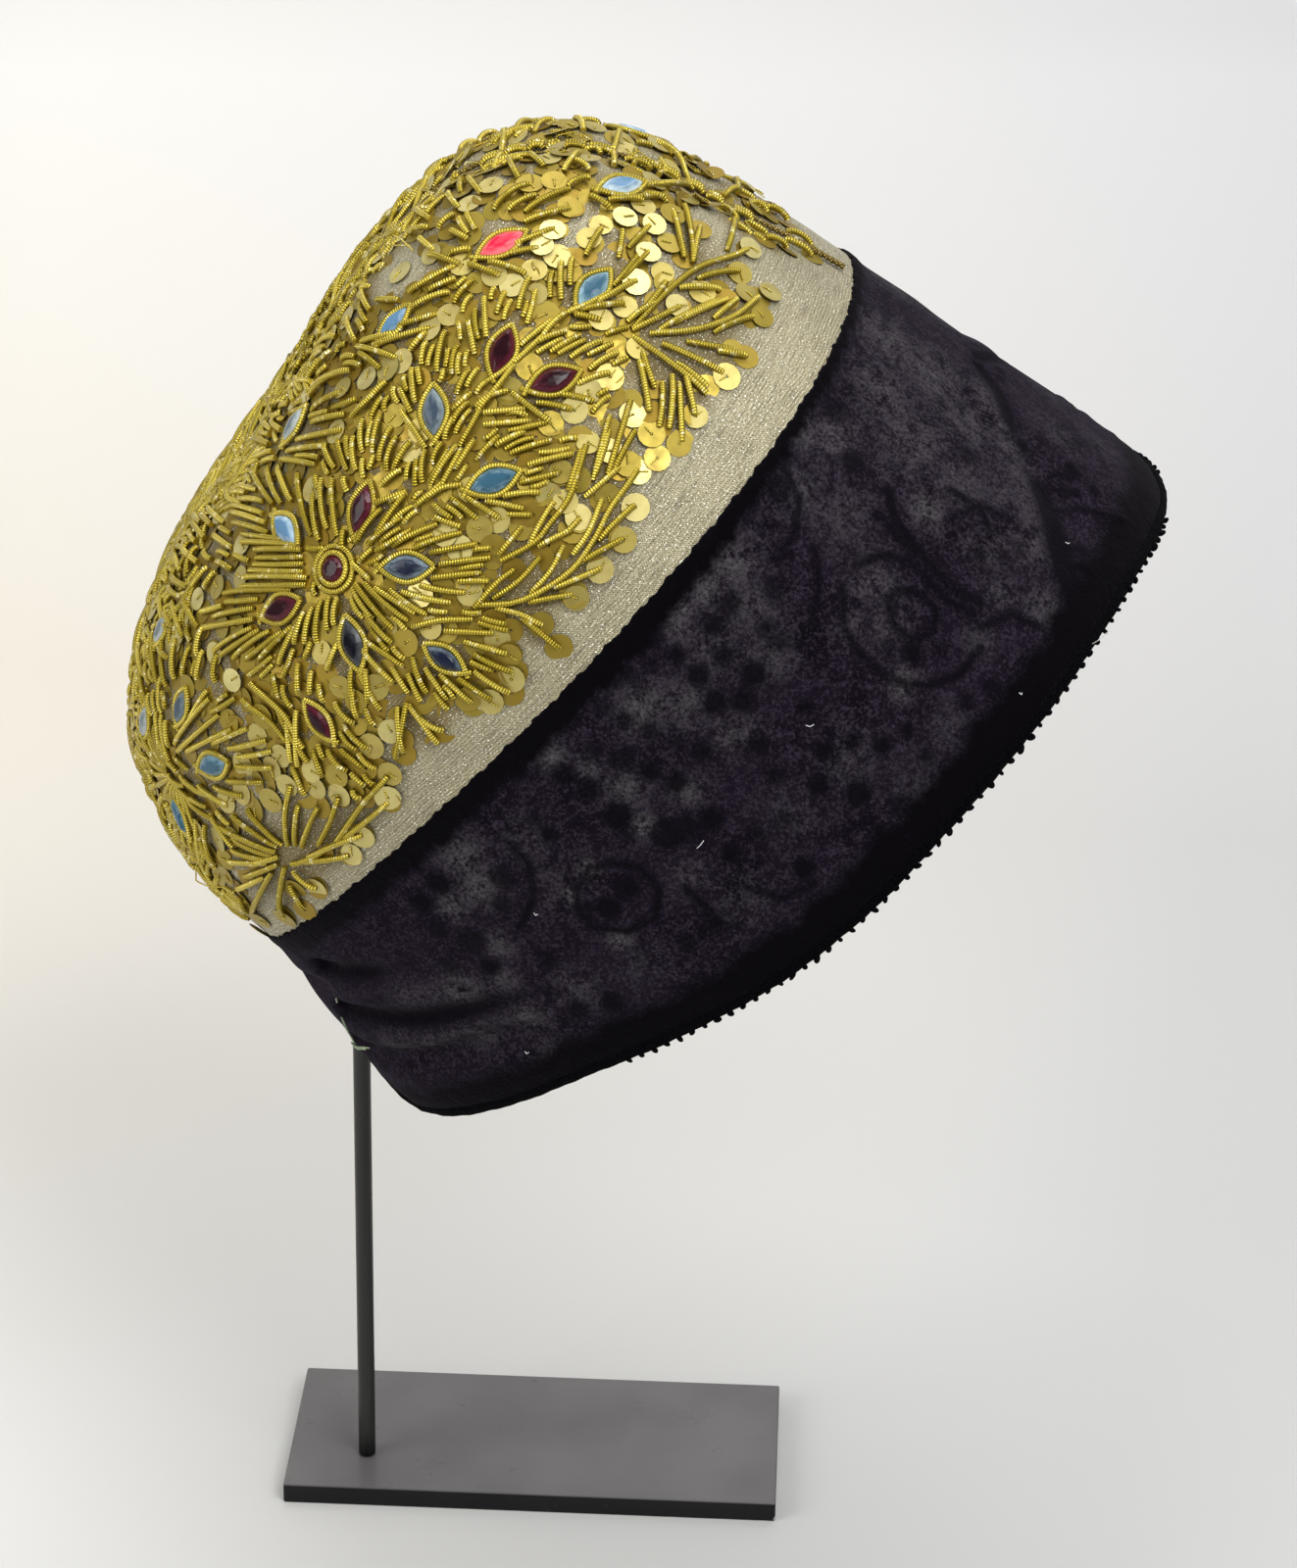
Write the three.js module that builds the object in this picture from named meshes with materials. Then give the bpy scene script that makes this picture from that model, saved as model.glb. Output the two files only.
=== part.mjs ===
// A metal-embroidered two-panel coif with a velvet band, on a plain stand of a plate and a post.
// Millimetres, +Z up. The origin is the middle of the plate's underside, +X points the way the
// face would look, and +Y is the wearer's left.
import * as THREE from 'three';

// Stand
const plateLength = 115;
const plateWidth = 50;
const plateThickness = 5;
const plateChamfer = 0.5;
const postDiameter = 4;
const postFromPlateEnd = 18.3;
const postFromPlateFront = 14;
const postFoot = 0.3; // gap between the post and the plate it stands on
const postBall = 9; // diameter of the rounded end that the crown rests on
const crownRest = 0.5; // gap between the rounded end and the cloth above it

// Where the coif sits: the middle of the border between crown and band
const leanBack = 48; // degrees that the crown leans back from upright
const borderAheadOfPost = 43.4;
const borderHeight = 230.5;

// Border, the line where the metal cloth meets the velvet
const borderFront = 92; // from its middle to the forehead
const borderBack = 96; // from its middle to the nape
const borderHalfWidth = 78;
const borderSag = 3; // how far it dips beside the nape

// Crown
const crownHeight = 74.5;
const crownShift = 14; // how far its top lies toward the nape
const topSlope = 0.165; // share of its height that the top gains over the border's front length
const topDip = 3;
const topDipPlace = -17; // along the coif, from the middle of the border
const topDipSpread = 28;
const foreheadPuff = 1;
const seamSink = 2;
const seamSinkForehead = 3.5;
const seamSinkSpread = 9;
const seamSinkFull = 0.33; // share of the height up at which the groove has its full depth
const crownWall = 2;
const seamCordDiameter = 1.4;
const seamCordStart = 0.03; // share of the way up from the border at which the seam's cord starts

// Velvet band and its bound rim
const bandDepth = 80; // at the forehead, from the border to the edge of the rim
const flareReach = 85; // depth over which the flares below are measured
const flareFront = 12;
const flareNape = 17;
const flareSide = 5;
const bandBulge = 1;
const bandWall = 2;
const leastCloth = 0.4; // share of the band's depth that stays cloth where it is shallowest
const rimBinding = 3; // diameter of the rolled edge

// Stones and the corded collars that hold them
const stoneHeight = 1.9;
const collarWidth = 1.1;
const collarHeight = 1.3;
const girdleHeight = 0.8; // where the glass meets its collar
const tableShare = 0.55; // the flat table's size as a share of the glass
const tipRounding = 0.35; // how far a collar rounds off the pointed tips, as a share of its width

// Gaps between pieces that touch
const seamGap = 0.3;
const borderGap = 0.3;
const bindingGap = 0.3;
const seatGap = 0.3;

// Roundness of the curves: 2 is an ellipse, more is squarer, less is more pointed
const planRoundness = { border: 2.2, borderNape: 2.6, top: 1.8, napeShare: 1.5 };
const profileRoundness = { forehead: 4.3, side: 2.4, nape: 2.6 };

// Depth of the band around the head, as a share of its depth at the forehead. Turn is in degrees
// from the forehead (0) past the ear (90) to the nape (180).
const bandDepths = [
  { turn: 0, share: 1.0 },
  { turn: 30, share: 0.95 },
  { turn: 60, share: 0.94 },
  { turn: 90, share: 0.92 },
  { turn: 120, share: 0.75 },
  { turn: 140, share: 0.64 },
  { turn: 155, share: 0.5 },
  { turn: 168, share: 0.12 },
  { turn: 180, share: 0.08 },
];

// How much of its full sag the border has around the head
const borderSags = [
  { turn: 0, share: 0 },
  { turn: 100, share: 0 },
  { turn: 130, share: 0.4 },
  { turn: 155, share: 1 },
  { turn: 180, share: 0.6 },
];

// Folds of the band, each a soft valley from one place to another. Drop is the share of the band's
// depth there, width the share of its depth at the forehead, and sink the share of its wall.
const bandFolds = [
  { fromTurn: 168, fromDrop: 0.3, toTurn: 146, toDrop: 0.28, width: 0.06, sink: 1.1 },
  { fromTurn: 163, fromDrop: 0.6, toTurn: 122, toDrop: 0.72, width: 0.06, sink: 1.2 },
  { fromTurn: 15, fromDrop: 0.35, toTurn: 22, toDrop: 0.8, width: 0.08, sink: 0.8 },
];

// The stones of one panel. Turn is in degrees from the forehead, rise the share of the way up from
// the border to the top, and lie the angle of the stone's length on the cloth: 0 points to the
// nape, 90 to the top.
const stoneKinds = {
  long: { length: 9.4, width: 4.4 },
  slim: { length: 8, width: 3.4 },
  round: { length: 5, width: 5 },
};
const stones = [
  { name: 'brow', turn: 14, rise: 0.36, lie: 45, kind: 'long', colour: 'sky' },
  { name: 'bright', turn: 31, rise: 0.46, lie: 40, kind: 'long', colour: 'scarlet' },
  { name: 'temple', turn: 34, rise: 0.33, lie: 10, kind: 'long', colour: 'sea' },
  { name: 'upper_front', turn: 47, rise: 0.56, lie: 25, kind: 'slim', colour: 'sky' },
  { name: 'pair_upper', turn: 48, rise: 0.39, lie: -10, kind: 'long', colour: 'garnet' },
  { name: 'pair_lower', turn: 49, rise: 0.31, lie: 37, kind: 'long', colour: 'garnet' },
  { name: 'side_upper', turn: 60, rise: 0.43, lie: -34, kind: 'long', colour: 'steel' },
  { name: 'upper_side', turn: 72, rise: 0.7, lie: 16, kind: 'slim', colour: 'ice' },
  { name: 'side_lower', turn: 65, rise: 0.3, lie: 35, kind: 'long', colour: 'sea' },
  { name: 'petal_front', turn: 78, rise: 0.45, lie: -20, kind: 'long', colour: 'garnet' },
  { name: 'petal_top', turn: 90, rise: 0.56, lie: 84, kind: 'long', colour: 'sky' },
  { name: 'heart', turn: 88, rise: 0.43, lie: 0, kind: 'round', colour: 'garnet' },
  { name: 'petal_low', turn: 81, rise: 0.33, lie: 50, kind: 'long', colour: 'slate' },
  { name: 'petal_back', turn: 99, rise: 0.46, lie: 21, kind: 'long', colour: 'garnet' },
  { name: 'petal_nape', turn: 94, rise: 0.32, lie: -59, kind: 'long', colour: 'midnight' },
  { name: 'lower', turn: 88, rise: 0.19, lie: -98, kind: 'slim', colour: 'slate' },
  { name: 'lower_back', turn: 106, rise: 0.27, lie: -85, kind: 'slim', colour: 'garnet' },
  { name: 'back_upper', turn: 131, rise: 0.46, lie: -31, kind: 'slim', colour: 'steel' },
  { name: 'back', turn: 129, rise: 0.34, lie: 16, kind: 'long', colour: 'sea' },
  { name: 'back_lower', turn: 147, rise: 0.3, lie: -99, kind: 'slim', colour: 'sea' },
  { name: 'nape_upper', turn: 149, rise: 0.48, lie: -43, kind: 'slim', colour: 'ice' },
  { name: 'crown_back', turn: 138, rise: 0.61, lie: -32, kind: 'slim', colour: 'ice' },
];

const stoneColours = {
  sky: 0x7fa3b8,
  sea: 0x4f8296,
  steel: 0x5f7688,
  slate: 0x2f3f55,
  midnight: 0x14161f,
  ice: 0xb9c4c6,
  garnet: 0x4a0d1c,
  scarlet: 0xd22a3c,
};

// Fineness of the meshes
const crownColumns = 22;
const crownRows = 10;
const bandColumns = 72;
const bandRows = 11;
const seamSteps = 32;
const cordSides = 5;
const stoneCorners = 10;
const postSides = 12;

const blackPaint = new THREE.MeshStandardMaterial({ color: 0x15161a, roughness: 0.35, metalness: 0.3 });
const metalCloth = new THREE.MeshStandardMaterial({ color: 0xa69b80, roughness: 0.6, metalness: 0.3 });
const velvet = new THREE.MeshStandardMaterial({ color: 0x231c28, roughness: 0.9, metalness: 0 });
const goldCord = new THREE.MeshStandardMaterial({ color: 0x8a7430, roughness: 0.5, metalness: 0.6 });
const rolledEdge = new THREE.MeshStandardMaterial({ color: 0x0f0e12, roughness: 0.8, metalness: 0 });

const radians = THREE.MathUtils.degToRad;

// A smooth curve through the shares of a table, level at both ends
function shareAt(rows, turn) {
  const at = Math.abs(THREE.MathUtils.euclideanModulo(turn + 180, 360) - 180);
  const last = rows.length - 1;
  const slope = (i) => {
    if (i === 0 || i === last) return 0;
    return (rows[i + 1].share - rows[i - 1].share) / (rows[i + 1].turn - rows[i - 1].turn);
  };
  let i = 0;
  while (i < last - 1 && at >= rows[i + 1].turn) i += 1;
  const span = rows[i + 1].turn - rows[i].turn;
  const t = (at - rows[i].turn) / span;
  const t2 = t * t;
  const t3 = t2 * t;
  return (2 * t3 - 3 * t2 + 1) * rows[i].share
    + (t3 - 2 * t2 + t) * span * slope(i)
    + (3 * t2 - 2 * t3) * rows[i + 1].share
    + (t3 - t2) * span * slope(i + 1);
}

// The point of a rounded square of half side 1 at an angle from its first axis
function roundedSquare(angle, roundness) {
  const c = Math.cos(angle);
  const s = Math.sin(angle);
  const reach = (Math.abs(c) ** roundness + Math.abs(s) ** roundness) ** (-1 / roundness);
  return { along: c * reach, up: s * reach };
}

function borderRoundness(turn) {
  const back = Math.min(0, Math.cos(radians(turn)));
  const share = Math.min(1, planRoundness.napeShare * back * back);
  return THREE.MathUtils.lerp(planRoundness.border, planRoundness.borderNape, share);
}

function sagAt(turn) {
  return borderSag * shareAt(borderSags, turn);
}

// The crown's outer face. The coif's own axes: x to the forehead, y to the left, z to the top.
function crownPoint(turn, rise) {
  const angle = radians(turn);
  const ahead = Math.cos(angle);
  const front = ahead > 0;
  const endRoundness = front ? profileRoundness.forehead : profileRoundness.nape;
  const profile = THREE.MathUtils.lerp(profileRoundness.side, endRoundness, ahead * ahead);
  const { along: out, up } = roundedSquare((Math.PI / 2) * rise, profile);
  const topward = Math.min(1, 2 * up);
  const plan = roundedSquare(angle, THREE.MathUtils.lerp(borderRoundness(turn), planRoundness.top, topward));
  const swell = 4 * up * (1 - up);
  const y = borderHalfWidth * plan.up * out;
  const sink = (front ? THREE.MathUtils.lerp(seamSink, seamSinkForehead, swell) : seamSink)
    * Math.exp(-((y / seamSinkSpread) ** 2)) * Math.min(1, up / seamSinkFull);
  let x = (front ? borderFront : borderBack) * plan.along * out;
  x += (front ? foreheadPuff * ahead * ahead * swell : 0) - Math.sign(ahead) * sink * out;
  x -= crownShift * up;
  let z = (crownHeight * up - sink * up * up) * (1 + (topSlope * x) / borderFront);
  z -= topDip * Math.exp(-(((x - topDipPlace) / topDipSpread) ** 2)) * up ** 3;
  z -= sagAt(turn) * (1 - up);
  return new THREE.Vector3(x, y, z);
}

// The sink of the band's folds at one place, as a length
function foldSink(turn, drop) {
  const side = Math.abs(THREE.MathUtils.euclideanModulo(turn + 180, 360) - 180);
  const perDegree = radians(1) * borderHalfWidth;
  let sink = 0;
  for (const fold of bandFolds) {
    const place = new THREE.Vector2(side * perDegree, drop * bandDepth);
    const from = new THREE.Vector2(fold.fromTurn * perDegree, fold.fromDrop * bandDepth);
    const to = new THREE.Vector2(fold.toTurn * perDegree, fold.toDrop * bandDepth);
    const run = to.clone().sub(from);
    const share = THREE.MathUtils.clamp(place.clone().sub(from).dot(run) / run.lengthSq(), 0, 1);
    const away = place.distanceTo(from.addScaledVector(run, share));
    sink += fold.sink * bandWall * Math.exp(-((away / (fold.width * bandDepth)) ** 2));
  }
  return sink;
}

// The band's outer face, from the border (drop 0) to the edge of the rim (drop 1)
function bandPoint(turn, drop) {
  const angle = radians(turn);
  const front = Math.cos(angle) > 0;
  const plan = roundedSquare(angle, borderRoundness(turn));
  const depth = bandDepth * shareAt(bandDepths, turn) * drop;
  const reach = depth / flareReach;
  const swell = 4 * bandBulge * reach * (1 - reach) - foldSink(turn, drop);
  const length = (front ? borderFront + flareFront * reach : borderBack + flareNape * reach) + swell;
  const width = borderHalfWidth + flareSide * reach + swell;
  return new THREE.Vector3(plan.along * length, plan.up * width, -depth - sagAt(turn));
}

// The outward direction of a face given by a function of turn and share
function outward(face, turn, share) {
  const step = 0.004;
  const at = THREE.MathUtils.clamp(share, step, 1 - step);
  const around = face(turn + 1, at).sub(face(turn - 1, at));
  const up = face(turn, at + step).sub(face(turn, at - step));
  const direction = around.cross(up).normalize();
  return direction.dot(face(turn, at)) < 0 ? direction.negate() : direction;
}

// The outward direction at the very top, where all turns meet
function topOutward() {
  const sum = new THREE.Vector3();
  for (let turn = 0; turn < 360; turn += 15) {
    sum.add(outward(crownPoint, turn, 0.9));
  }
  return sum.setY(0).normalize();
}

// One closed body from triangles, turned so that its faces look out
function bodyOf(triangles) {
  const kept = triangles.filter(([a, b, c]) => new THREE.Triangle(a, b, c).getArea() > 1e-7);
  const volume = kept.reduce((sum, [a, b, c]) => sum + a.dot(b.clone().cross(c)), 0);
  const positions = [];
  for (const [a, b, c] of kept) {
    for (const p of volume > 0 ? [a, b, c] : [a, c, b]) positions.push(p.x, p.y, p.z);
  }
  const geometry = new THREE.BufferGeometry();
  geometry.setAttribute('position', new THREE.Float32BufferAttribute(positions, 3));
  geometry.computeVertexNormals();
  return geometry;
}

// The two triangles of a four-cornered face
function quad(a, b, c, d) {
  return [[a, b, c], [a, c, d]];
}

// The skin between neighbouring closed rings of points, each ring with the same count
function ringSkin(rings, closeLoop) {
  const triangles = [];
  const spans = closeLoop ? rings.length : rings.length - 1;
  for (let i = 0; i < spans; i += 1) {
    const ring = rings[i];
    const next = rings[(i + 1) % rings.length];
    for (let j = 0; j < ring.length; j += 1) {
      const k = (j + 1) % ring.length;
      triangles.push(...quad(ring[j], ring[k], next[k], next[j]));
    }
  }
  return triangles;
}

// A flat or domed end that closes one ring
function ringEnd(ring, reversed) {
  const triangles = [];
  for (let j = 1; j < ring.length - 1; j += 1) {
    triangles.push(reversed ? [ring[0], ring[j + 1], ring[j]] : [ring[0], ring[j], ring[j + 1]]);
  }
  return triangles;
}

// One half of the crown: side 1 is the wearer's left, -1 the right
function crownPanel(side) {
  const outer = [];
  const inner = [];
  const top = topOutward();
  for (let column = 0; column <= crownColumns; column += 1) {
    const turn = (180 * column) / crownColumns;
    const outerColumn = [];
    const innerColumn = [];
    for (let row = 0; row <= crownRows; row += 1) {
      const rise = row / crownRows;
      const point = crownPoint(turn, rise);
      const normal = row === crownRows ? top.clone() : outward(crownPoint, turn, rise);
      if (row === 0) normal.setZ(0).normalize();
      if (column === 0 || column === crownColumns) normal.setY(0).normalize();
      if (row === 0) point.z += borderGap / 2;
      const within = point.clone().addScaledVector(normal, -crownWall);
      for (const p of [point, within]) {
        p.y = side * (Math.max(0, p.y) + seamGap / 2);
      }
      outerColumn.push(point);
      innerColumn.push(within);
    }
    outer.push(outerColumn);
    inner.push(innerColumn);
  }
  const triangles = [];
  for (let i = 0; i < crownColumns; i += 1) {
    for (let j = 0; j < crownRows; j += 1) {
      triangles.push(...quad(outer[i][j], outer[i + 1][j], outer[i + 1][j + 1], outer[i][j + 1]));
      triangles.push(...quad(inner[i][j], inner[i][j + 1], inner[i + 1][j + 1], inner[i + 1][j]));
    }
    triangles.push(...quad(outer[i][0], inner[i][0], inner[i + 1][0], outer[i + 1][0]));
  }
  for (let j = 0; j < crownRows; j += 1) {
    const last = crownColumns;
    triangles.push(...quad(outer[0][j], outer[0][j + 1], inner[0][j + 1], inner[0][j]));
    triangles.push(...quad(outer[last][j], inner[last][j], inner[last][j + 1], outer[last][j + 1]));
  }
  return bodyOf(triangles);
}

// The drop at which the band's cloth ends, so that the bound edge fits below it
function clothEnd(turn) {
  const depth = bandDepth * shareAt(bandDepths, turn);
  return Math.max(leastCloth, 1 - (rimBinding + bindingGap) / depth);
}

// The velvet band, a ring whose section runs down the outer face and up the inner one
function bandBody() {
  const rings = [];
  for (let column = 0; column < bandColumns; column += 1) {
    const turn = (360 * column) / bandColumns;
    const outer = [];
    const inner = [];
    for (let row = 0; row <= bandRows; row += 1) {
      const drop = (clothEnd(turn) * row) / bandRows;
      const point = bandPoint(turn, drop);
      const normal = outward(bandPoint, turn, drop);
      normal.setZ(0).normalize();
      if (row === 0) point.z -= borderGap / 2;
      outer.push(point);
      inner.unshift(point.clone().addScaledVector(normal, -bandWall));
    }
    rings.push([...outer, ...inner]);
  }
  return bodyOf(ringSkin(rings, true));
}

// The middle of the cloth's wall where it ends at the rim
function clothEdge(turn) {
  const end = clothEnd(turn);
  const normal = outward(bandPoint, turn, end).setZ(0).normalize();
  return bandPoint(turn, end).addScaledVector(normal, -bandWall / 2);
}

// The middle line of the bound edge, square off the cloth's edge at every turn
function bindingPoint(turn) {
  const along = clothEdge(turn + 1).sub(clothEdge(turn - 1));
  const away = along.cross(outward(bandPoint, turn, clothEnd(turn))).normalize();
  if (away.z > 0) away.negate();
  return clothEdge(turn).addScaledVector(away, bindingGap + rimBinding / 2);
}

// The rolled edge that binds the rim all round, nape included
function rimBindingBody() {
  const rings = [];
  for (let column = 0; column < bandColumns; column += 1) {
    const turn = (360 * column) / bandColumns;
    const centre = bindingPoint(turn);
    const along = bindingPoint(turn + 1).sub(bindingPoint(turn - 1)).normalize();
    const out = outward(bandPoint, turn, clothEnd(turn)).setZ(0);
    out.addScaledVector(along, -out.dot(along)).normalize();
    const up = along.clone().cross(out).normalize();
    const ring = [];
    for (let j = 0; j < cordSides; j += 1) {
      const angle = (2 * Math.PI * (j + 0.5)) / cordSides - Math.PI / 2;
      const point = centre.clone();
      point.addScaledVector(out, (rimBinding / 2) * Math.cos(angle));
      point.addScaledVector(up, (rimBinding / 2) * Math.sin(angle));
      ring.push(point);
    }
    rings.push(ring);
  }
  return bodyOf(ringSkin(rings, true));
}

// The cord that lies in the groove of the centre seam, from the forehead over the top to the nape
function seamCordBody() {
  const lift = seatGap + seamCordDiameter / 2;
  const points = [];
  for (let step = 0; step <= seamSteps; step += 1) {
    const way = THREE.MathUtils.lerp(seamCordStart, 2 - seamCordStart, step / seamSteps);
    const turn = way < 1 ? 0 : 180;
    const rise = way < 1 ? way : 2 - way;
    const normal = outward(crownPoint, turn, rise).setY(0).normalize();
    points.push(crownPoint(turn, rise).addScaledVector(normal, lift).setY(0));
  }
  const section = new THREE.Shape();
  section.absarc(0, 0, seamCordDiameter / 2, 0, 2 * Math.PI);
  return new THREE.ExtrudeGeometry(section, {
    extrudePath: new THREE.CatmullRomCurve3(points),
    steps: seamSteps,
    curveSegments: cordSides,
    bevelEnabled: false,
  });
}

// The outline of a stone, pointed at both ends or round, widened by a border
function stoneOutline(kind, widen, height, shrink = 1) {
  const pointed = kind.length > kind.width;
  const ring = [];
  for (let j = 0; j < stoneCorners; j += 1) {
    const angle = (2 * Math.PI * j) / stoneCorners;
    const x = Math.cos(angle) * (kind.length / 2 + widen) * shrink;
    const belly = pointed ? Math.sign(Math.sin(angle)) * Math.sin(angle) ** 2 : Math.sin(angle);
    const tip = pointed ? tipRounding * widen * Math.sin(angle) : 0;
    ring.push(new THREE.Vector3(x, (belly * (kind.width / 2 + widen) + tip) * shrink, height));
  }
  return ring;
}

// A cut stone with its table, fused to the corded collar around it
function stoneBody(kind) {
  const rings = [
    stoneOutline(kind, collarWidth, 0),
    stoneOutline(kind, collarWidth / 2, collarHeight),
    stoneOutline(kind, 0, girdleHeight),
    stoneOutline(kind, 0, stoneHeight, tableShare),
  ];
  const triangles = ringSkin(rings, false);
  triangles.push(...ringEnd(rings[0], true), ...ringEnd(rings[3], false));
  return bodyOf(triangles);
}

// How far the cloth under a stone rises above the flat at the stone's middle
function swellUnder(stone, normal) {
  const middle = crownPoint(stone.turn, stone.rise);
  const reach = stoneKinds[stone.kind].length / 2 + collarWidth;
  let rise = 0;
  for (let dTurn = -10; dTurn <= 10; dTurn += 1) {
    for (let dRise = -0.1; dRise <= 0.1; dRise += 0.01) {
      const turn = THREE.MathUtils.clamp(stone.turn + dTurn, 0, 180);
      const offset = crownPoint(turn, stone.rise + dRise).sub(middle);
      const height = offset.dot(normal);
      if (offset.addScaledVector(normal, -height).length() < reach) rise = Math.max(rise, height);
    }
  }
  return rise;
}

// A stone seated on the crown: its own x runs along it and its z looks out
function placeStone(mesh, stone, side) {
  const normal = outward(crownPoint, stone.turn, stone.rise);
  const napeward = crownPoint(stone.turn + 1, stone.rise).sub(crownPoint(stone.turn - 1, stone.rise));
  napeward.addScaledVector(normal, -napeward.dot(normal)).normalize();
  const topward = normal.clone().cross(napeward);
  if (topward.z < 0) topward.negate();
  const lie = radians(stone.lie);
  const along = napeward.multiplyScalar(Math.cos(lie)).addScaledVector(topward, Math.sin(lie));
  const lift = seatGap + swellUnder(stone, normal);
  const seat = crownPoint(stone.turn, stone.rise).addScaledVector(normal, lift);
  for (const v of [normal, along, seat]) v.y *= side;
  const across = normal.clone().cross(along);
  mesh.quaternion.setFromRotationMatrix(new THREE.Matrix4().makeBasis(along, across, normal));
  mesh.position.copy(seat);
}

// The plate, a flat bar with slightly broken edges
function plateBody() {
  const inset = plateChamfer;
  const rectangle = (cut, z) => [[1, 1], [-1, 1], [-1, -1], [1, -1]].map(([sx, sy]) => new THREE.Vector3(
    sx * (plateLength / 2 - cut),
    sy * (plateWidth / 2 - cut),
    z,
  ));
  const rings = [
    rectangle(inset, 0),
    rectangle(0, inset),
    rectangle(0, plateThickness - inset),
    rectangle(inset, plateThickness),
  ];
  const triangles = ringSkin(rings, false);
  triangles.push(...ringEnd(rings[0], true), ...ringEnd(rings[3], false));
  return bodyOf(triangles);
}

const stand = new THREE.Group();
const coif = new THREE.Group();
const postX = postFromPlateEnd - plateLength / 2;
const postY = postFromPlateFront - plateWidth / 2;
coif.position.set(postX + borderAheadOfPost, postY, borderHeight);
coif.rotation.y = -radians(leanBack);
coif.updateMatrixWorld();

// The height at which the post's rounded end rests under the crown's lining side
function ballHeight() {
  const under = [];
  for (let turn = 0; turn < 360; turn += 360 / (2 * crownColumns)) {
    for (let row = 1; row < 4 * crownRows; row += 1) {
      const rise = row / (4 * crownRows);
      const inner = crownPoint(turn, rise).addScaledVector(outward(crownPoint, turn, rise), -crownWall);
      under.push(coif.localToWorld(inner));
    }
  }
  const reach = postBall / 2 + crownRest;
  let height = Infinity;
  for (const p of under) {
    const aside = Math.hypot(p.x - postX, p.y - postY);
    if (aside < reach && p.z > borderHeight) {
      height = Math.min(height, p.z - Math.sqrt(reach ** 2 - aside ** 2));
    }
  }
  return height;
}

// The post, a round rod with a rounded end
function postBody() {
  const foot = plateThickness + postFoot;
  const radius = postDiameter / 2;
  const ball = postBall / 2;
  const centre = ballHeight();
  const neck = Math.asin(radius / ball);
  const outline = [new THREE.Vector2(0, foot), new THREE.Vector2(radius, foot)];
  const arcs = 5;
  for (let j = 0; j <= arcs; j += 1) {
    const angle = THREE.MathUtils.lerp(neck, Math.PI, j / arcs);
    const across = j === arcs ? 0 : ball * Math.sin(angle);
    outline.push(new THREE.Vector2(across, centre - ball * Math.cos(angle)));
  }
  const geometry = new THREE.LatheGeometry(outline, postSides);
  geometry.rotateX(Math.PI / 2);
  return geometry;
}

function add(group, name, geometry, material) {
  const mesh = new THREE.Mesh(geometry, material);
  mesh.name = name;
  group.add(mesh);
  return mesh;
}

add(stand, 'base_plate', plateBody(), blackPaint);
add(stand, 'post', postBody(), blackPaint).position.set(postX, postY, 0);

add(coif, 'crown_left', crownPanel(1), metalCloth);
add(coif, 'crown_right', crownPanel(-1), metalCloth);
add(coif, 'seam_cord', seamCordBody(), goldCord);
add(coif, 'velvet_band', bandBody(), velvet);
add(coif, 'rim_binding', rimBindingBody(), rolledEdge);

for (const [sideName, side] of [['left', 1], ['right', -1]]) {
  for (const stone of stones) {
    const glass = new THREE.MeshStandardMaterial({
      color: stoneColours[stone.colour],
      roughness: 0.15,
      metalness: 0.1,
    });
    const mesh = add(coif, `stone_${stone.name}_${sideName}`, stoneBody(stoneKinds[stone.kind]), glass);
    placeStone(mesh, stone, side);
  }
}

const model = new THREE.Group();
model.add(stand, coif);

export default model;
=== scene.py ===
"""The looks of an embroidered coif on its stand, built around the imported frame.
Lengths are millimetres until make_piece turns them into metres. The coif's own axes are x to the
forehead, y to the wearer's left and z to the top of the crown, from the middle of the border."""
import math

import bmesh
import bpy
import numpy as np
from mathutils import Matrix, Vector
from mathutils.kdtree import KDTree


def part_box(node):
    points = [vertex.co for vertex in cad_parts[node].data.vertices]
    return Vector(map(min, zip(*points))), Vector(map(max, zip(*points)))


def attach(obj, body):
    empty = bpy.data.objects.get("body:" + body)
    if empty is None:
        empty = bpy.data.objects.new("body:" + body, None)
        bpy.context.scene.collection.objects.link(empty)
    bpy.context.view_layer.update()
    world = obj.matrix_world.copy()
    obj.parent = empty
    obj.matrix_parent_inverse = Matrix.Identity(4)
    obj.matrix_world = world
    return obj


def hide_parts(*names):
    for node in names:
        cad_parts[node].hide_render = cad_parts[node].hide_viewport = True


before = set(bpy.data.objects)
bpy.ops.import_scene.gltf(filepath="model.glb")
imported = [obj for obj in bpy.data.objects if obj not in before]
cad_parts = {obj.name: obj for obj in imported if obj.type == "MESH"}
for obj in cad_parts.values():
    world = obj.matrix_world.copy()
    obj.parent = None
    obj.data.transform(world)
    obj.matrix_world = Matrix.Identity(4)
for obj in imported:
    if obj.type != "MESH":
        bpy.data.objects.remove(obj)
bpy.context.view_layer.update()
MM = 0.001
MIRROR = np.array([1, -1, 1])
IN_SEAM = np.array([1, 0, 1])
random = np.random.default_rng(48)

# The camera, which looks as the photograph does
CAMERA_AT = (55.89, -866.23, 588.46)
CAMERA_TURN = 2.11
CAMERA_DIP = 25.38
CAMERA_ROLL = 1.03
FOCAL_PIXELS = 4430
PHOTO_WIDTH = 1323
PHOTO_HEIGHT = 1600
SENSOR = 36


def camera_axes():
    """Right, up and back of the camera, as rows."""
    turn, dip, roll = (math.radians(a) for a in (CAMERA_TURN, CAMERA_DIP, CAMERA_ROLL))
    level = np.array([math.cos(turn), math.sin(turn), 0])
    ahead = np.array([-math.sin(turn) * math.cos(dip), math.cos(turn) * math.cos(dip), -math.sin(dip)])
    above = np.cross(level, ahead)
    right = math.cos(roll) * level + math.sin(roll) * above
    up = math.cos(roll) * above - math.sin(roll) * level
    return np.array([right, up, -ahead])


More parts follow.
